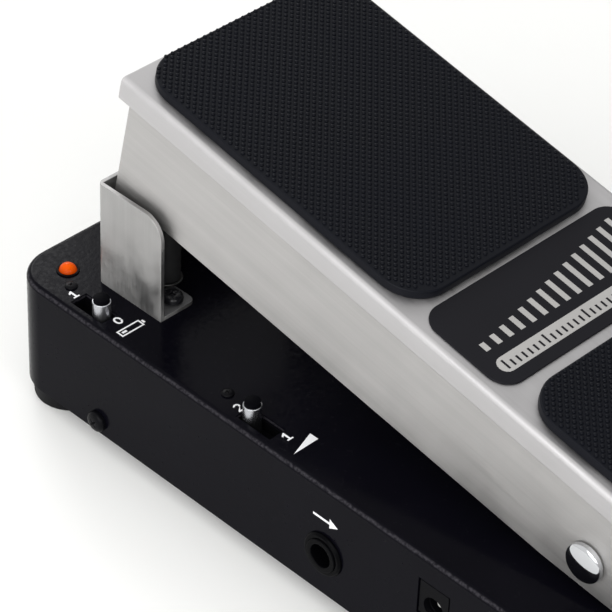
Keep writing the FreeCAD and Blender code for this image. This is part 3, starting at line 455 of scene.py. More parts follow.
def copies_tree():
    """Copies of one object on loose points, each with its Z along the point's aim and a spin of its own."""
    tree, given = shape_tree("set_out_copies", (("Master", "Object"), ("Largest Spin", "Float"),
                                                ("Spin Seed", "Int")))
    aim = node_in(tree, "GeometryNodeInputNamedAttribute", [("data_type", "FLOAT_VECTOR")], Name="aim")
    turn = node_in(tree, "FunctionNodeAlignRotationToVector", [("axis", "Z")], Vector=aim.outputs["Attribute"])
    spin = node_in(tree, "FunctionNodeRandomValue", [("data_type", "FLOAT")], _2=0.0,
                   _3=given["Largest Spin"], _8=given["Spin Seed"])
    about = node_in(tree, "ShaderNodeCombineXYZ", Z=spin.outputs[1])
    master = node_in(tree, "GeometryNodeObjectInfo", Object=given["Master"], As_Instance=True)
    copies = node_in(tree, "GeometryNodeInstanceOnPoints", Points=given["Geometry"],
                     Instance=master.outputs["Geometry"], Rotation=turn.outputs["Rotation"])
    spun = node_in(tree, "GeometryNodeRotateInstances", Instances=copies.outputs["Instances"],
                   Rotation=about.outputs["Vector"], Local_Space=True)
    return end_tree(tree, given, spun.outputs["Instances"])


COPIES = copies_tree()


def grown(piece, tree, **inputs):
    """The mesh that a Geometry Nodes tree makes from a piece, its inputs given by name."""
    modifier = piece.modifiers.new(tree.name, "NODES")
    modifier.node_group = tree
    sockets = {item.name.replace(" ", "_"): item.identifier for item in tree.interface.items_tree
               if item.item_type == "SOCKET" and item.in_out == "INPUT"}
    for label, value in inputs.items():
        modifier[sockets[label]] = value
    return settled(piece)


def set_out(node, mesh, spots, aims, material, spin=math.tau):
    """Stands for a CAD node of like pieces: one copy of the mesh at each spot, its Z along the aim."""
    points = bpy.data.meshes.new(node + "_spots")
    points.from_pydata(spots, [], [])
    points.attributes.new("aim", "FLOAT_VECTOR", "POINT")
    points.attributes["aim"].data.foreach_set("vector", [value for aim in aims for value in aim])
    master = link(bpy.data.objects.new(node + "_master", mesh))
    piece = link(bpy.data.objects.new(node + "_made", points))
    made = grown(piece, COPIES, Master=master, Finish=material, Largest_Spin=spin, Spin_Seed=4)
    bpy.data.objects.remove(master)
    body, slot = body_and_slot(node)
    return add_piece(node + "_made", made, body, None, [node])


def cut_out(mesh, cutter):
    """The mesh with a cutter's shape taken out of it."""
    piece = link(bpy.data.objects.new("cut_piece", mesh))
    knife = link(bpy.data.objects.new("cutter", as_mesh("cutter", cutter)))
    taken = piece.modifiers.new("recess", "BOOLEAN")
    taken.object = knife
    taken.solver = "EXACT"
    taken.use_self = True
    made = settled(piece)
    bpy.data.objects.remove(knife)
    made.set_sharp_from_angle(angle=math.radians(34))
    return made


def cross_recess(reach, width, top, depth):
    """A cutter for a cross recess that narrows downwards."""
    shape = bmesh.new()
    for turn in (0, math.pi / 2):
        bar = bmesh.ops.create_cube(shape, size=1.0)["verts"]
        for vert in bar:
            narrow = 0.55 if vert.co.z < 0 else 1.0
            vert.co = Vector((vert.co.x * 2 * reach * narrow * MM, vert.co.y * width * narrow * MM,
                              (top - depth / 2 + vert.co.z * 2 * (depth / 2 if vert.co.z < 0 else depth)) * MM))
        bmesh.ops.rotate(shape, verts=bar, matrix=Matrix.Rotation(turn, 3, "Z"))
    return shape


def pan_head_screw(head, rise, shank, length):
    """A pan-head screw with a cross recess, its head standing on Z 0; all sizes in mm."""
    profile = [(0, -length), (shank, -length), (shank, 0), (head, 0), (head, 0.3 * rise)]
    solid = turned(profile[:-1] + dome(head, 0.3 * rise, rise, 9, 2.7), 40)
    blank = broken("screw_blank", solid, 0.06)
    return cut_out(blank, cross_recess(0.52 * head, 0.2 * head, rise, 0.55 * rise))


def middle(box):
    return (box[0] + box[1]) / 2


def upright_screws(node, head, rise, shank, length, material):
    """Stands for a CAD node of upright screws, each as high as its CAD solid."""
    seats = [(middle(box).x, middle(box).y, box[1].z - rise * MM) for box in solids_in(node)]
    set_out(node, pan_head_screw(head, rise, shank, length), seats, [(0, 0, 1)] * len(seats), material)


FOOT_RUBBER = moulded("foot_rubber", (0.006, 0.006, 0.007), 0.62, IOR=1.2)
ZINC = plated("zinc_plate", (0.62, 0.62, 0.60), 0.34)
BLACK_OXIDE = moulded("black_oxide", (0.008, 0.008, 0.010), 0.26, 0.00001, Specular_IOR_Level=0.35)
BLACK_LACQUER = moulded("black_lacquer", (0.003, 0.003, 0.004), 0.30, 0.00001, IOR=1.16)

feet = [middle(box) for box in solids_in("rubber_feet")]
FOOT_RADIUS, FOOT_TOP, FOOT_HEIGHT, FOOT_RECESS, FOOT_HOLE, FOOT_SEAT = 10, 10.5, 6, 3.6, 1.6, 3.4
foot = turned([(FOOT_RECESS, 0), (FOOT_RADIUS, 0), (FOOT_TOP, FOOT_HEIGHT), (FOOT_HOLE, FOOT_HEIGHT),
               (FOOT_HOLE, FOOT_SEAT), (FOOT_RECESS, FOOT_SEAT)], 64)
set_out("rubber_feet", broken("foot", foot, 0.7, 3), [(place.x, place.y, 0) for place in feet],
        [(0, 0, 1)] * 4, FOOT_RUBBER)
set_out("foot_screws", pan_head_screw(2.9, 2.0, 1.5, 8.6), [(place.x, place.y, FOOT_SEAT * MM) for place in feet],
        [(0, 0, -1)] * 4, ZINC)

SIDE_SCREW_RISE = 1.9
side_boxes = solids_in("bottom_plate_screws")
side_seats = [(math.copysign(abs(middle(box).x) + 0.5 * abs(box[1].x - box[0].x) - SIDE_SCREW_RISE * MM,
                             middle(box).x), middle(box).y, middle(box).z) for box in side_boxes]
set_out("bottom_plate_screws", pan_head_screw(3.0, SIDE_SCREW_RISE, 1.5, 5.0), side_seats,
        [(math.copysign(1, seat[0]), 0, 0) for seat in side_seats], BLACK_LACQUER)


# ---- toe guide bracket ----
# A U of 1.2 mm stainless sheet, sheared, brushed and folded, with a tab at each end and one at the back, held
# to the base by three black screws. Handling leaves smears in the brushing, and the tabs carry a painted shade.

def brush_group():
    """Brush lines along Y: fine streaks, broader bands, and soft blotches where it has been handled."""
    group, given, result = group_of("brush_lines", [("Vector", "NodeSocketVector", None),
                                                    ("Fineness", "NodeSocketFloat", 1.0)],
                                    ["Streaks", "Bands", "Blotches"])
    drawn = node_in(group, "ShaderNodeVectorMath", [("operation", "MULTIPLY")], _0=given.outputs["Vector"],
                    _1=(1.0, 0.014, 1.0))
    fine = math_in(group, "MULTIPLY", given.outputs["Fineness"], 2400.0)
    streaks = node_in(group, "ShaderNodeTexNoise", Vector=drawn.outputs[0], Scale=fine, Detail=5.0, Roughness=0.7)
    broad = math_in(group, "MULTIPLY", given.outputs["Fineness"], 260.0)
    bands = node_in(group, "ShaderNodeTexNoise", Vector=drawn.outputs[0], Scale=broad, Detail=3.0)
    blotches = node_in(group, "ShaderNodeTexNoise", Vector=given.outputs["Vector"], Scale=70.0, Detail=4.0)
    for label, source in (("Streaks", streaks), ("Bands", bands), ("Blotches", blotches)):
        group.links.new(source.outputs["Fac"], result.inputs[label])
    return group


BRUSH_LINES = brush_group()


def brushed(name, colour, rough, turn=(0, 0, 0), fineness=1.0, depth=0.000012, smears=0.08, contrast=0.10):
    """Brushed steel whose lines run along Y once the metal is turned by the angles given."""
    made = finish(name, colour, rough, metal=1.0)
    tree = made.node_tree
    laid = node_in(tree, "ShaderNodeMapping", Rotation=turn, Vector=coordinates(made))
    lines = pattern(made, BRUSH_LINES, Vector=laid.outputs["Vector"], Fineness=fineness)
    drawn = math_in(tree, "ADD", math_in(tree, "MULTIPLY", lines.outputs["Streaks"], 0.55),
                    math_in(tree, "MULTIPLY", lines.outputs["Bands"], 0.45))
    grey = math_in(tree, "ADD", drawn, spread(made, lines.outputs["Blotches"], -smears, smears, 0.35, 0.65))
    shade(made, spread(made, grey, 0.0, 1.0, 0.35, 0.65), [(1 - contrast) * part for part in colour],
          [(1 + 0.6 * contrast) * part for part in colour])
    worn = math_in(tree, "ADD", spread(made, lines.outputs["Blotches"], -smears, smears, 0.35, 0.65),
                   spread(made, lines.outputs["Streaks"], rough - 0.05, rough + 0.05, 0.35, 0.65))
    feed(made, "Roughness", worn)
    emboss(made, lines.outputs["Streaks"], depth)
    return made


GUIDE_STEEL = brushed("guide_steel", (0.425, 0.42, 0.417), 0.50, (math.pi / 2, 0, 0), 1.1, 0.000003, 0.20, 0.12)
# The upward faces of the tabs near the deck are darkened in colour: a painted shade.
TAB_PAINTED_SHADE = (0.20, 0.20, 0.205)
bare = shader_of(GUIDE_STEEL).inputs["Base Color"].links[0].from_socket
level_face = spread(GUIDE_STEEL, coordinates(GUIDE_STEEL, "Z", "Normal"), 0.0, 1.0, 0.6, 0.95)
on_deck = spread(GUIDE_STEEL, coordinates(GUIDE_STEEL, "Z"), 1.0, 0.0, deck_height + 2 * MM, deck_height + 4 * MM)
shade(GUIDE_STEEL, math_in(GUIDE_STEEL.node_tree, "MULTIPLY", level_face, on_deck), bare, TAB_PAINTED_SHADE)
crisp("toe_guide_bracket", 0.14, GUIDE_STEEL)
upright_screws("bracket_screws", 2.8, 2.0, 1.5, 6.0, BLACK_OXIDE)


# ---- return springs ----
# Two coils of oiled steel wire stand on turned posts in the base and on pegs under the treadle's toe, each in a
# thin rubber sleeve that keeps it from rattling. Coil and sleeve shorten as the toe goes down.

def coil_tree():
    """A round wire wound evenly up Z, one coil at each of the loose points."""
    tree, given = shape_tree("wound_wire", (("Coil Radius", "Float"), ("Wire Radius", "Float"),
                                            ("Height", "Float"), ("Turns", "Float")))
    line = node_in(tree, "GeometryNodeCurveSpiral", Resolution=28, Rotations=given["Turns"], Height=given["Height"],
                   Start_Radius=given["Coil Radius"], End_Radius=given["Coil Radius"])
    section = node_in(tree, "GeometryNodeCurvePrimitiveCircle", Resolution=10, Radius=given["Wire Radius"])
    wire = node_in(tree, "GeometryNodeCurveToMesh", Curve=line.outputs["Curve"],
                   Profile_Curve=section.outputs["Curve"], Fill_Caps=True)
    smooth = node_in(tree, "GeometryNodeSetShadeSmooth", Geometry=wire.outputs["Mesh"])
    copies = node_in(tree, "GeometryNodeInstanceOnPoints", Points=given["Geometry"],
                     Instance=smooth.outputs["Geometry"])
    return end_tree(tree, given, copies.outputs["Instances"])


def stretch(name, mesh, node, start, end):
    """A piece that stands for a CAD node and is blended from the base to the treadle."""
    piece = link(bpy.data.objects.new(name, mesh))
    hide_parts(node)
    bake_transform(piece, "base", "treadle", start, end)


SPRING_STEEL = plated("oiled_wire", (0.10, 0.10, 0.10), 0.32)
SLEEVE_RUBBER = moulded("sleeve_rubber", (0.020, 0.020, 0.021), 0.55)
sleeve_boxes = solids_in("spring_sleeves")
spring_low, spring_high = sleeve_boxes[0][0].z, sleeve_boxes[0][1].z
spring_foot = (0, sleeve_boxes[0][0].y, spring_low)
spring_head = (0, sleeve_boxes[0][0].y, spring_high)
COIL_RADIUS, WIRE_RADIUS, COIL_PITCH = 2.5 * MM, 0.4 * MM, 3.0 * MM
coil_height = spring_high - spring_low - 2 * WIRE_RADIUS
spots = bpy.data.meshes.new("coil_spots")
spots.from_pydata([(middle(box).x, middle(box).y, spring_low + WIRE_RADIUS) for box in sleeve_boxes], [], [])
coils = grown(link(bpy.data.objects.new("toe_springs_made", spots)), coil_tree(), Coil_Radius=COIL_RADIUS,
              Wire_Radius=WIRE_RADIUS, Height=coil_height, Turns=coil_height / COIL_PITCH, Finish=SPRING_STEEL)
stretch("toe_springs_made", coils, "toe_springs", spring_foot, spring_head)

SLEEVE_OUTSIDE, SLEEVE_WALL, SLEEVE_WAIST, SLEEVE_RINGS = 3.75, 0.6, 0.12, 72
sleeve_length = (spring_high - spring_low) / MM
rising = [sleeve_length * step / SLEEVE_RINGS for step in range(SLEEVE_RINGS + 1)]
outside = [(SLEEVE_OUTSIDE - SLEEVE_WAIST * abs(math.sin(math.pi * height / (COIL_PITCH / MM))), height)
           for height in rising]
inside = [(SLEEVE_OUTSIDE - SLEEVE_WALL, height) for height in reversed(rising)]
sleeve = broken("sleeve", turned(outside + inside, 40), 0.15, 2, 60)
both = bmesh.new()
for box in sleeve_boxes:
    one = sleeve.copy()
    one.transform(Matrix.Translation((middle(box).x, middle(box).y, spring_low)))
    both.from_mesh(one)
sleeves = as_mesh("spring_sleeves_made", both)
sleeves.materials.append(SLEEVE_RUBBER)
stretch("spring_sleeves_made", sleeves, "spring_sleeves", spring_foot, spring_head)

OILED_STEEL = plated("oiled_steel", (0.14, 0.14, 0.14), 0.36)
crisp("spring_posts", 0.25, OILED_STEEL)
crisp("spring_pegs", 0.25, OILED_STEEL)


# ---- lamp ----
# A round-topped lens of orange plastic, darkened round its foot by a painted shade, pushed up through the top from
# below and held by a thin black press-in bezel.

LAMP_ORANGE = finish("lamp_orange", (0.58, 0.06, 0.001), 0.12, Emission_Color=(1.0, 0.10, 0.0, 1.0),
                     Emission_Strength=0.16, IOR=1.16)
emboss(LAMP_ORANGE, pattern(LAMP_ORANGE, COAT_GRAIN, Scale=500.0).outputs["Height"], 0.00003, 0.35)
SOCKET_PLASTIC = moulded("socket_plastic", (0.0028, 0.0028, 0.0036), 0.36, IOR=1.11)

lamp_low, lamp_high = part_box("led_lens")
LENS_RADIUS, LENS_RIM, LENS_RIM_RISE = 2.45, 2.95, 1.0
lens_height = (lamp_high.z - lamp_low.z) / MM
lens_shoulder = lens_height - LENS_RADIUS
# The lens darkens from its top towards its rim: a painted shade.
LENS_RIM_PAINTED_SHADE, LENS_TOP_TONE = (0.10, 0.006, 0.0002), (0.64, 0.078, 0.001)
lens_shade_rise = spread(LAMP_ORANGE, coordinates(LAMP_ORANGE, "Z"), 0.0, 1.0, lamp_low.z + lens_shoulder * MM, lamp_high.z)
shade(LAMP_ORANGE, lens_shade_rise, LENS_RIM_PAINTED_SHADE, LENS_TOP_TONE)
lens = [(0, 0), (LENS_RIM, 0), (LENS_RIM, LENS_RIM_RISE), (LENS_RADIUS, LENS_RIM_RISE)]
lamp_middle = middle((lamp_low, lamp_high))
set_out("led_lens", broken("lens", turned(lens + dome(LENS_RADIUS, lens_shoulder, lens_height, 14), 48), 0.08),
        [(lamp_middle.x, lamp_middle.y, lamp_low.z)], [(0, 0, 1)], LAMP_ORANGE)
crisp("led_bezel", 0.10, SOCKET_PLASTIC)


# ---- slide switches ----
# Two plastic slide switches hang under the top on the circuit board. Each is worked by a turned and plated knob
# that stands in a short slot: a thin bright sleeve, and a black core that stands up out of it, which is a painted
# reflection of the dark above on the knob's top.

SATIN_PLATE = plated("satin_plating", (0.54, 0.55, 0.58), 0.27)
# The black core stands for the dark reflection on a plated knob's top: a painted reflection.
CORE_PAINTED_REFLECTION = moulded("switch_core", (0.002, 0.002, 0.003), 0.35, 0.00001, IOR=1.06)
KNOB_WALL, KNOB_CHAMFER, CORE_RISE, CORE_FOOT, CORE_ROUND = 0.30, 0.12, 1.15, 0.2, 0.18
for name in ("battery_switch", "bass_switch"):
    low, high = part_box(name + "_knob")
    radius, tall = (high.x - low.x) / 2 / MM, (high.z - low.z) / MM
    inner, sleeve_top = radius - KNOB_WALL, tall - CORE_RISE
    knob_foot = (middle((low, high)).x, middle((low, high)).y, low.z)
    skin = turned([(inner, 0), (radius, 0), (radius, sleeve_top - KNOB_CHAMFER),
                   (radius - KNOB_CHAMFER, sleeve_top), (inner, sleeve_top)], 56)
    set_out(name + "_knob", broken("knob", skin, 0.07), [knob_foot], [(0, 0, 1)], SATIN_PLATE)
    core = turned([(0, CORE_FOOT), (inner, CORE_FOOT), (inner, tall), (0, tall)], 40)
    core_mesh = broken(name + "_core", core, CORE_ROUND, 3)
    core_mesh.transform(Matrix.Translation(knob_foot))
    add_piece(name + "_core", core_mesh, name, CORE_PAINTED_REFLECTION)
    crisp(name + "_body", 0.15, SOCKET_PLASTIC)


# ---- sockets ----
# The output and input jacks are moulded boxes behind the sides, each pulled up by a black ring nut on its bush.
# The square power socket beside the output jack has a round mouth with a plated pin in it, and its case narrows
# to the face, which leaves a dark line round it.

JACK_BLACK = moulded("jack_black", (0.0015, 0.0015, 0.0020), 0.22, 0.00001, IOR=1.10)
BRASS = plated("plated_brass", (0.74, 0.60, 0.32), 0.28)
PIN_PLATE = plated("pin_plating", (0.90, 0.89, 0.86), 0.45)
NUT_RADIUS, NUT_BORE, NUT_RISE, NUT_RIM, NUT_CHAMFER = 6.2, 4.75, 1.0, 0.45, 0.45
nut_boxes = solids_in("jack_nuts")
ring = turned([(NUT_BORE, 0), (NUT_RADIUS, 0), (NUT_RADIUS, NUT_RIM), (NUT_RADIUS - NUT_CHAMFER, NUT_RISE),
               (NUT_BORE, NUT_RISE)], 72)
case_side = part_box("base_shell")[1].x
set_out("jack_nuts", broken("ring_nut", ring, 0.16, 3),
        [(math.copysign(case_side, middle(box).x), middle(box).y, middle(box).z) for box in nut_boxes],
        [(math.copysign(1, middle(box).x), 0, 0) for box in nut_boxes], JACK_BLACK)
for name in ("out_jack_body", "in_jack_body"):
    crisp(name, 0.28, JACK_BLACK, 3)
crisp("jack_lugs", 0.08, BRASS)
CASE_DRAFT, NEARLY = 0.4 * MM, 0.1 * MM
power_low, power_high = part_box("power_socket")
power_middle = middle((power_low, power_high))
drawn_case = merged("power_socket")
for corner in drawn_case.verts:
    off_centre = corner.co - power_middle
    if corner.co.x < power_low.x + NEARLY and abs(off_centre.y) > power_high.y - power_middle.y - NEARLY:
        corner.co.y -= math.copysign(CASE_DRAFT, off_centre.y)
        corner.co.z -= math.copysign(CASE_DRAFT, off_centre.z)
crisp("power_socket", 0.25, SOCKET_PLASTIC, 3, shape=drawn_case)
crisp("power_socket_pin", 0.35, PIN_PLATE, 4)


# ---- circuit board and battery ----
# The board hangs on four spacers, with its parts on the underside. The 9 V battery stands in a sprung steel clip
# beside it, and wears a vinyl snap with two leads.

BOARD_GREEN = moulded("solder_mask", (0.03, 0.16, 0.07), 0.30, 0.00001)
CHIP_BLACK = moulded("chip_black", (0.02, 0.02, 0.02), 0.45)
CAN_SLEEVE = moulded("shrink_sleeve", (0.02, 0.03, 0.09), 0.22, 0.00001)
FERRITE = moulded("ferrite", (0.06, 0.055, 0.05), 0.5)
BATTERY_CAN = moulded("printed_can", (0.07, 0.08, 0.10), 0.28, 0.00001, Metallic=0.5)
SPRING_STRIP = brushed("spring_strip", (0.58, 0.58, 0.56), 0.30)
VINYL = moulded("soft_vinyl", (0.025, 0.025, 0.025), 0.5)
INSULATION = moulded("wire_insulation", (0.22, 0.012, 0.010), 0.38)
for node, rounding, material in (("circuit_board", 0.12, BOARD_GREEN), ("board_standoffs", 0.2, ZINC),
                                 ("capacitors", 0.5, CAN_SLEEVE), ("chips", 0.3, CHIP_BLACK),
                                 ("inductor", 0.6, FERRITE), ("battery", 0.7, BATTERY_CAN),
                                 ("battery_snap", 0.7, VINYL), ("battery_clip", 0.15, SPRING_STRIP)):
    crisp(node, rounding, material, 3)
for node in ("battery_leads", "signal_leads"):
    nodes[node].data.materials.clear()
    nodes[node].data.materials.append(INSULATION)

upright_screws("board_screws", 1.7, 0.7, 1.0, 6.0, BLACK_LACQUER)
for node in ("m3_nuts", "m4_nuts"):
    crisp(node, 0.2, ZINC)


# ---- hinge ----
# A bent and black-painted steel bracket stands on the base. Chromed shoulder screws with plain domed heads pass
# through nylon bushes in the treadle's skirts into its ears, with a washer and a nut inside.

BLACK_PAINT = powder_coat("bracket_paint")
NYLON = moulded("natural_nylon", (0.72, 0.70, 0.63), 0.42, 0.00001)
crisp("pivot_bracket", 0.3, BLACK_PAINT)
crisp("pivot_washers", 0.12, ZINC)
crisp("pivot_nuts", 0.3, ZINC)
crisp("pivot_bushes", 0.2, NYLON)

CHROME = plated("bright_chrome", (0.62, 0.63, 0.65), 0.07, 0.000001)
HEAD_RADIUS, HEAD_RIM, HEAD_RISE = 5.2, 1.1, 2.5
SHOULDER, SHOULDER_LENGTH, THREAD, THREAD_LENGTH = 3, 3.9, 2.5, 8
hinge_low, hinge_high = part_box("pivot_screws")
hinge_middle = middle((hinge_low, hinge_high))
shank = [(0, -SHOULDER_LENGTH - THREAD_LENGTH), (THREAD, -SHOULDER_LENGTH - THREAD_LENGTH),
         (THREAD, -SHOULDER_LENGTH), (SHOULDER, -SHOULDER_LENGTH), (SHOULDER, 0), (HEAD_RADIUS, 0)]
head = broken("pivot_head", turned(shank + dome(HEAD_RADIUS, HEAD_RIM, HEAD_RISE, 16, 2.0), 72), 0.12)
set_out("pivot_screws", head,
        [(side * (hinge_high.x - HEAD_RISE * MM), hinge_middle.y, hinge_middle.z) for side in (-1, 1)],
        [(side, 0, 0) for side in (-1, 1)], CHROME)
upright_screws("pivot_bracket_screws", 3.4, 2.2, 2.0, 8.0, ZINC)


# ---- stops ----
# A bent steel bracket with a glued rubber pad holds the treadle's heel at rest, and two small rubber blocks on
# the base stop its toe.

STOP_RUBBER = moulded("stop_rubber", (0.024, 0.024, 0.025), 0.6)
crisp("heel_stop_bracket", 0.25, BLACK_PAINT)
crisp("heel_stop_pad", 0.4, STOP_RUBBER, 3)
crisp("toe_stop_pads", 0.4, STOP_RUBBER, 3)


# ---- drive ----
# A nylon rack hangs on a pin under the treadle, slides in a guide block below the top and turns the nylon pinion
# on the potentiometer's shaft. The potentiometer is nutted to a bent steel bracket.

POT_CAN = plated("pot_can", (0.60, 0.60, 0.59), 0.33)
for node, rounding, material in (("drive_rack", 0.12, NYLON), ("pinion_gear", 0.08, NYLON),
                                 ("pot_shaft", 0.2, POT_CAN), ("pot_body", 0.3, POT_CAN),
                                 ("pot_nut", 0.25, ZINC), ("pot_bracket", 0.2, SPRING_STRIP),
                                 ("rack_guide", 0.25, SOCKET_PLASTIC), ("drive_arm", 0.2, SPRING_STRIP),
                                 ("drive_pin", 0.25, CHROME), ("inner_screws", 0.2, ZINC)):
    crisp(node, rounding, material)


# ---- treadle ----
# A channel of 1.2 mm steel folded down at both sides, under a 1 mm cover sheet with a lip along each edge. Both
# are brushed lengthwise; the cover is the paler of the two, and its folds catch the light.

hinge = Vector(next(joint["pos_m"] for joint in frame["joints"] if joint["name"] == "treadle_hinge"))
face_up = max(nodes["badge_plate"].data.polygons, key=lambda face: face.area * (face.normal.z > 0.5)).normal
tilt = math.atan2(-face_up.y, face_up.z)
treadle_place = Matrix.Translation(hinge) @ Matrix.Rotation(tilt, 4, "X")


def treadle_box(node):
    """A CAD node's lowest and highest corner measured along the treadle from its hinge."""
    back_to_local = treadle_place.inverted()
    spots = [back_to_local @ vert.co for vert in nodes[node].data.vertices]
    return [Vector([pick(spot[axis] for spot in spots) for axis in range(3)]) for pick in (min, max)]


CHANNEL_STEEL = brushed("channel_steel", (0.505, 0.495, 0.490), 0.52, (-tilt, 0, 0), 1.0, 0.000012, 0.05, 0.10)
COVER_STEEL = brushed("cover_steel", (0.555, 0.545, 0.552), 0.50, (-tilt, 0, 0), 1.0, 0.000014, 0.08, 0.06)
crisp("treadle_channel", 0.16, CHANNEL_STEEL)
crisp("treadle_cover", 0.30, COVER_STEEL, 3)


# ---- tread pads ----
# Two moulded rubber mats glued to the cover. Each has a soft rounded edge and a field of small round dots in a
# square grid turned by 45 degrees, which stops at a plain rim along the heel edge.

def plates(outlines, low, high):
    """Flat plates between two heights, one over each outline, with their faces in a fixed order."""
    shape = bmesh.new()
    for outline in outlines:
        foot, head = [[shape.verts.new((x, y, height)) for x, y in outline] for height in (low, high)]
        shape.faces.new(foot)
        shape.faces.new(head)
        for index, corner in enumerate(foot):
            shape.faces.new((foot[index - 1], corner, head[index], head[index - 1]))
    bmesh.ops.recalc_face_normals(shape, faces=shape.faces)
    return shape


def rounded_plate(box, corner, low, high, steps=14):
    """A flat plate with rounded corners, over a box in the treadle's own axes, between two heights."""
    half_x, start, stop = box[1].x, box[0].y, box[1].y
    outline = []
    for quarter, (x, y) in enumerate(((half_x - corner, stop - corner), (corner - half_x, stop - corner),
                                      (corner - half_x, start + corner), (half_x - corner, start + corner))):
        for step in range(steps + 1):
            angle = math.pi / 2 * (quarter + step / steps)
            outline.append((x + corner * math.cos(angle), y + corner * math.sin(angle)))
    return plates([outline], low, high)


def dots_tree():
    """A turned square grid of one small object, kept to a field with rounded corners."""
    tree, given = shape_tree("raised_dots", (("Dot", "Object"), ("Pitch", "Float"), ("Count", "Int"),
                                             ("Half Field", "Vector"), ("Corner", "Float")))
    count = given["Count"]
    span = math_in(tree, "MULTIPLY", given["Pitch"], math_in(tree, "SUBTRACT", count, 1.0))
    grid = node_in(tree, "GeometryNodeMeshGrid", Size_X=span, Size_Y=span, Vertices_X=count, Vertices_Y=count)
    turned_grid = node_in(tree, "GeometryNodeTransform", Geometry=grid.outputs["Mesh"],
                          Rotation=(0, 0, math.pi / 4))
    place = node_in(tree, "GeometryNodeInputPosition").outputs["Position"]
    folded = node_in(tree, "ShaderNodeVectorMath", [("operation", "ABSOLUTE")], _0=place).outputs[0]
    corner = node_in(tree, "ShaderNodeCombineXYZ", X=given["Corner"], Y=given["Corner"]).outputs[0]
    straight = node_in(tree, "ShaderNodeVectorMath", [("operation", "SUBTRACT")],
                       _0=given["Half Field"], _1=corner).outputs[0]
    past = node_in(tree, "ShaderNodeVectorMath", [("operation", "SUBTRACT")], _0=folded, _1=straight).outputs[0]
    clipped = node_in(tree, "ShaderNodeVectorMath", [("operation", "MAXIMUM")], _0=past, _1=(0, 0, 0)).outputs[0]
    away = node_in(tree, "ShaderNodeVectorMath", [("operation", "LENGTH")], _0=clipped).outputs["Value"]
    outside_field = math_in(tree, "GREATER_THAN", away, given["Corner"])
    kept = node_in(tree, "GeometryNodeDeleteGeometry", [("domain", "POINT")],
                   Geometry=turned_grid.outputs["Geometry"], Selection=outside_field)
    dot = node_in(tree, "GeometryNodeObjectInfo", Object=given["Dot"], As_Instance=True)
    dots = node_in(tree, "GeometryNodeInstanceOnPoints", Points=kept.outputs["Geometry"],
                   Instance=dot.outputs["Geometry"])
    return end_tree(tree, given, dots.outputs["Instances"])


RAISED_DOTS = dots_tree()
PAD_CORNER, PAD_DOT_RISE, PAD_EDGE_ROUND = 11.0 * MM, 0.38 * MM, 0.42
DOT_RADIUS, DOT_PITCH, DOT_SINK, DOT_SIDES = 0.60, 1.55 * MM, 0.08, 8  # radius and sink in mm
FIELD_INSET, HEEL_RIM = 0.4 * MM, 1.85 * MM
PAD_RUBBER = moulded("pad_rubber", (0.0028, 0.0034, 0.0062), 0.46, 0.00002, 1800.0, Specular_IOR_Level=0.12)


def tread_pad(node):
    """A slab and its dots as one piece, in the space of a CAD pad."""
    low, high = treadle_box(node)
    face = high.z - PAD_DOT_RISE
    slab = broken("slab", rounded_plate((low, high), PAD_CORNER, low.z, face), PAD_EDGE_ROUND, 4, 50)
    rise = PAD_DOT_RISE / MM
    dot_profile = [(0, -DOT_SINK), (DOT_RADIUS, -DOT_SINK), (0.82 * DOT_RADIUS, 0.62 * rise),
                   (0.45 * DOT_RADIUS, 0.95 * rise), (0, rise)]
    dot_shape = turned(dot_profile, DOT_SIDES)
    for part in dot_shape.faces:
        part.smooth = True
    dot = link(bpy.data.objects.new("dot", as_mesh("dot", dot_shape)))
    half = Vector((high.x - FIELD_INSET, (high.y - low.y - FIELD_INSET - HEEL_RIM) / 2, 0))
    centre = Vector((0, (low.y + HEEL_RIM + high.y - FIELD_INSET) / 2, face))
    field = link(bpy.data.objects.new("dot_field", bpy.data.meshes.new("dot_field")))
    dots = grown(field, RAISED_DOTS, Dot=dot, Pitch=DOT_PITCH, Count=2 * int(half.length / DOT_PITCH) + 3,
                 Half_Field=half, Corner=PAD_CORNER - FIELD_INSET, Finish=PAD_RUBBER)
    bpy.data.objects.remove(dot)
    dots.transform(Matrix.Translation(centre))
    whole = bmesh.new()
    whole.from_mesh(slab)
    whole.from_mesh(dots)
    mesh = as_mesh(node + "_made", whole)
    mesh.transform(treadle_place)
    add_piece(node + "_made", mesh, "treadle", PAD_RUBBER, [node])


tread_pad("toe_pad")
tread_pad("heel_pad")


# ---- badge plate ----
# A thin plate with rounded corners, painted flat black and glued between the pads. It bears a row of graduated
# bars and a ruled band, masked off so that they show the bare metal.

BADGE_BLACK = moulded("badge_black", (0.0065, 0.0063, 0.0090), 0.42, 0.00001, Specular_IOR_Level=0.14)
BARE_SILVER = moulded("bare_silver", (0.46, 0.45, 0.44), 0.42, 0.00001, Metallic=0.4)
crisp("badge_plate", 0.12, BADGE_BLACK)


def flat_shapes(name, outlines, rise, place, material, body):
    """Thin raised shapes from flat outlines in mm, laid on the plane of a matrix."""
    mesh = as_mesh(name, plates([[(x * MM, y * MM) for x, y in outline] for outline in outlines], 0, rise * MM))
    mesh.transform(place)
    return add_piece(name, mesh, body, material)


def bar(x, y, width, height):
    return [(x, y), (x + width, y), (x + width, y + height), (x, y + height)]


def capsule(x, y, width, height, steps=8):
    """A bar with round ends."""
    radius = height / 2
    outline = []
    for centre, first in ((x + width - radius, -math.pi / 2), (x + radius, math.pi / 2)):
        outline += [(centre + radius * math.cos(first + math.pi * step / steps),
                     y + radius + radius * math.sin(first + math.pi * step / steps)) for step in range(steps + 1)]
    return outline


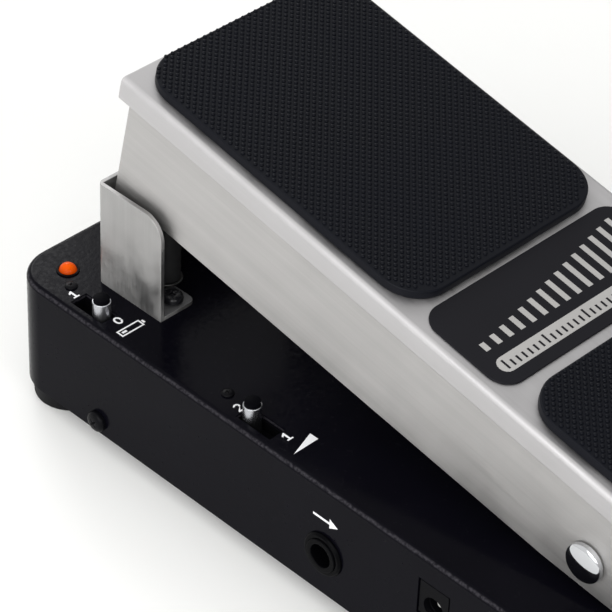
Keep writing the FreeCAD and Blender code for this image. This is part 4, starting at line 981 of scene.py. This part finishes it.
badge_low, badge_high = treadle_box("badge_plate")
badge_place = treadle_place @ Matrix.Translation((0, badge_low.y, badge_high.z))
INLAY_RISE, BAND_FOOT, BAND_HEIGHT, BAND_HALF = 0.04, 3.4, 4.8, 30.2
BAR_COUNT, BAR_STEP, BAR_WIDTH, BAR_FOOT, SHORT_BAR, BAR_GAIN, BAR_CURVE = 15, 4.0, 1.6, 11.2, 2.6, 10.6, 1.15
TICK_COUNT, TICK_STEP, TICK_WIDTH, TICK_FOOT, TICK, LONG_TICK, LONG_TICK_EVERY = 29, 2.0, 0.6, 0.9, 2.0, 3.0, 7
bars = [bar((index - (BAR_COUNT - 1) / 2) * BAR_STEP - BAR_WIDTH / 2, BAR_FOOT, BAR_WIDTH,
            SHORT_BAR + BAR_GAIN * (index / (BAR_COUNT - 1)) ** BAR_CURVE) for index in range(BAR_COUNT)]
flat_shapes("badge_bars", bars, INLAY_RISE, badge_place, BARE_SILVER, "treadle")
flat_shapes("badge_band", [capsule(-BAND_HALF, BAND_FOOT, 2 * BAND_HALF, BAND_HEIGHT)], INLAY_RISE, badge_place,
            BARE_SILVER, "treadle")
ticks = [bar((index - (TICK_COUNT - 1) / 2) * TICK_STEP - TICK_WIDTH / 2, BAND_FOOT + TICK_FOOT, TICK_WIDTH,
             TICK if index % LONG_TICK_EVERY else LONG_TICK) for index in range(TICK_COUNT)]
flat_shapes("badge_ticks", ticks, 2 * INLAY_RISE, badge_place, BADGE_BLACK, "treadle")


# ---- markings ----
# White screen-printed ink beside each control: plain numbers for a switch's two ends, and small plain signs for
# a battery, a rising level and a signal that leaves the box.

LABEL_INK = moulded("label_ink", (0.80, 0.80, 0.82), 0.5, 0.00001)
INK_RISE, NUMBER_HEIGHT, MARK_GAP, HEEL_MARK_SHIFT = 0.03, 3.0, 0.4, 1.2
SLOT_INSET, SIGN_SHIFT, SIGN_DROP, OUT_SIGN_HEIGHT = 2.0, 2.0 * MM, 6.4, 29.8 * MM
battery_sign = [bar(-4.4, -1.3, 7.6, 0.45), bar(-4.4, 0.85, 7.6, 0.45), bar(-4.4, -0.85, 0.45, 1.7),
                bar(2.75, -0.85, 0.45, 1.7), bar(3.45, -0.6, 0.6, 1.2), bar(-3.4, -0.35, 1.5, 0.7)]
wedge_sign = [[(-4.2, -1.4), (4.2, -1.4), (4.2, 1.4)]]
deck_plane = Matrix.Translation((0, 0, deck_height))
side_plane = Matrix.Translation((-case_side, 0, 0)) @ Matrix(((0, 0, -1), (-1, 0, 0), (0, 1, 0))).to_4x4()


def around(radius_x, radius_y, x, y, first, last, width, steps=20):
    """The outline of a strip that follows an arc of an ellipse, its angles in degrees, in a list."""
    angles = [math.radians(first + (last - first) * step / steps) for step in range(steps + 1)]
    inner, outer = [[(x + (radius_x + side * width / 2) * math.cos(angle),
                      y + (radius_y + side * width / 2) * math.sin(angle)) for angle in angles] for side in (-1, 1)]
    return [inner + outer[::-1]]


NUMERALS = {
    "0": around(0.85, 1.2, 0, 0, 0, 350, 0.55),
    "1": [[(-0.28, -1.05), (-0.28, 0.62), (-0.95, 0.25), (-0.95, 0.80), (-0.10, 1.45), (0.30, 1.45), (0.30, -1.05)],
          bar(-0.95, -1.5, 1.9, 0.46)],
    "2": around(0.72, 0.62, 0, 0.62, 165, -40, 0.52) + [[(0.35, 0.05), (0.78, 0.30), (-0.28, -1.04), (-0.95, -1.04)],
                                                         bar(-0.95, -1.5, 1.9, 0.46)]}


for switch, toe_number, heel_number in (("battery", "1", "0"), ("bass", "2", "1")):
    low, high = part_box(switch + "_switch_body")
    x, toe_end, heel_end = middle((low, high)).x / MM, high.y / MM - SLOT_INSET, low.y / MM + SLOT_INSET
    marks = (("toe", toe_number, x, toe_end + MARK_GAP + NUMBER_HEIGHT / 2),
             ("heel", heel_number, x + HEEL_MARK_SHIFT, heel_end - MARK_GAP - NUMBER_HEIGHT / 2))
    for end, number, across, along in marks:
        spot = deck_plane @ Matrix.Translation((across * MM, along * MM, 0))
        flat_shapes(f"{switch}_{end}_mark", NUMERALS[number], INK_RISE, spot, LABEL_INK, "base")
    sign = battery_sign if switch == "battery" else wedge_sign
    foot = Matrix.Translation((x * MM + SIGN_SHIFT, (heel_end - SIGN_DROP) * MM, 0))
    flat_shapes(switch + "_sign", sign, INK_RISE, deck_plane @ foot, LABEL_INK, "base")
arrow_sign = [[(-4.2, -0.35), (1.4, -0.35), (1.4, -1.5), (4.2, 0), (1.4, 1.5), (1.4, 0.35), (-4.2, 0.35)]]
over_jack = side_plane @ Matrix.Translation((-middle(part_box("out_jack_body")).y, OUT_SIGN_HEIGHT, 0))
flat_shapes("out_sign", arrow_sign, INK_RISE, over_jack, LABEL_INK, "base")
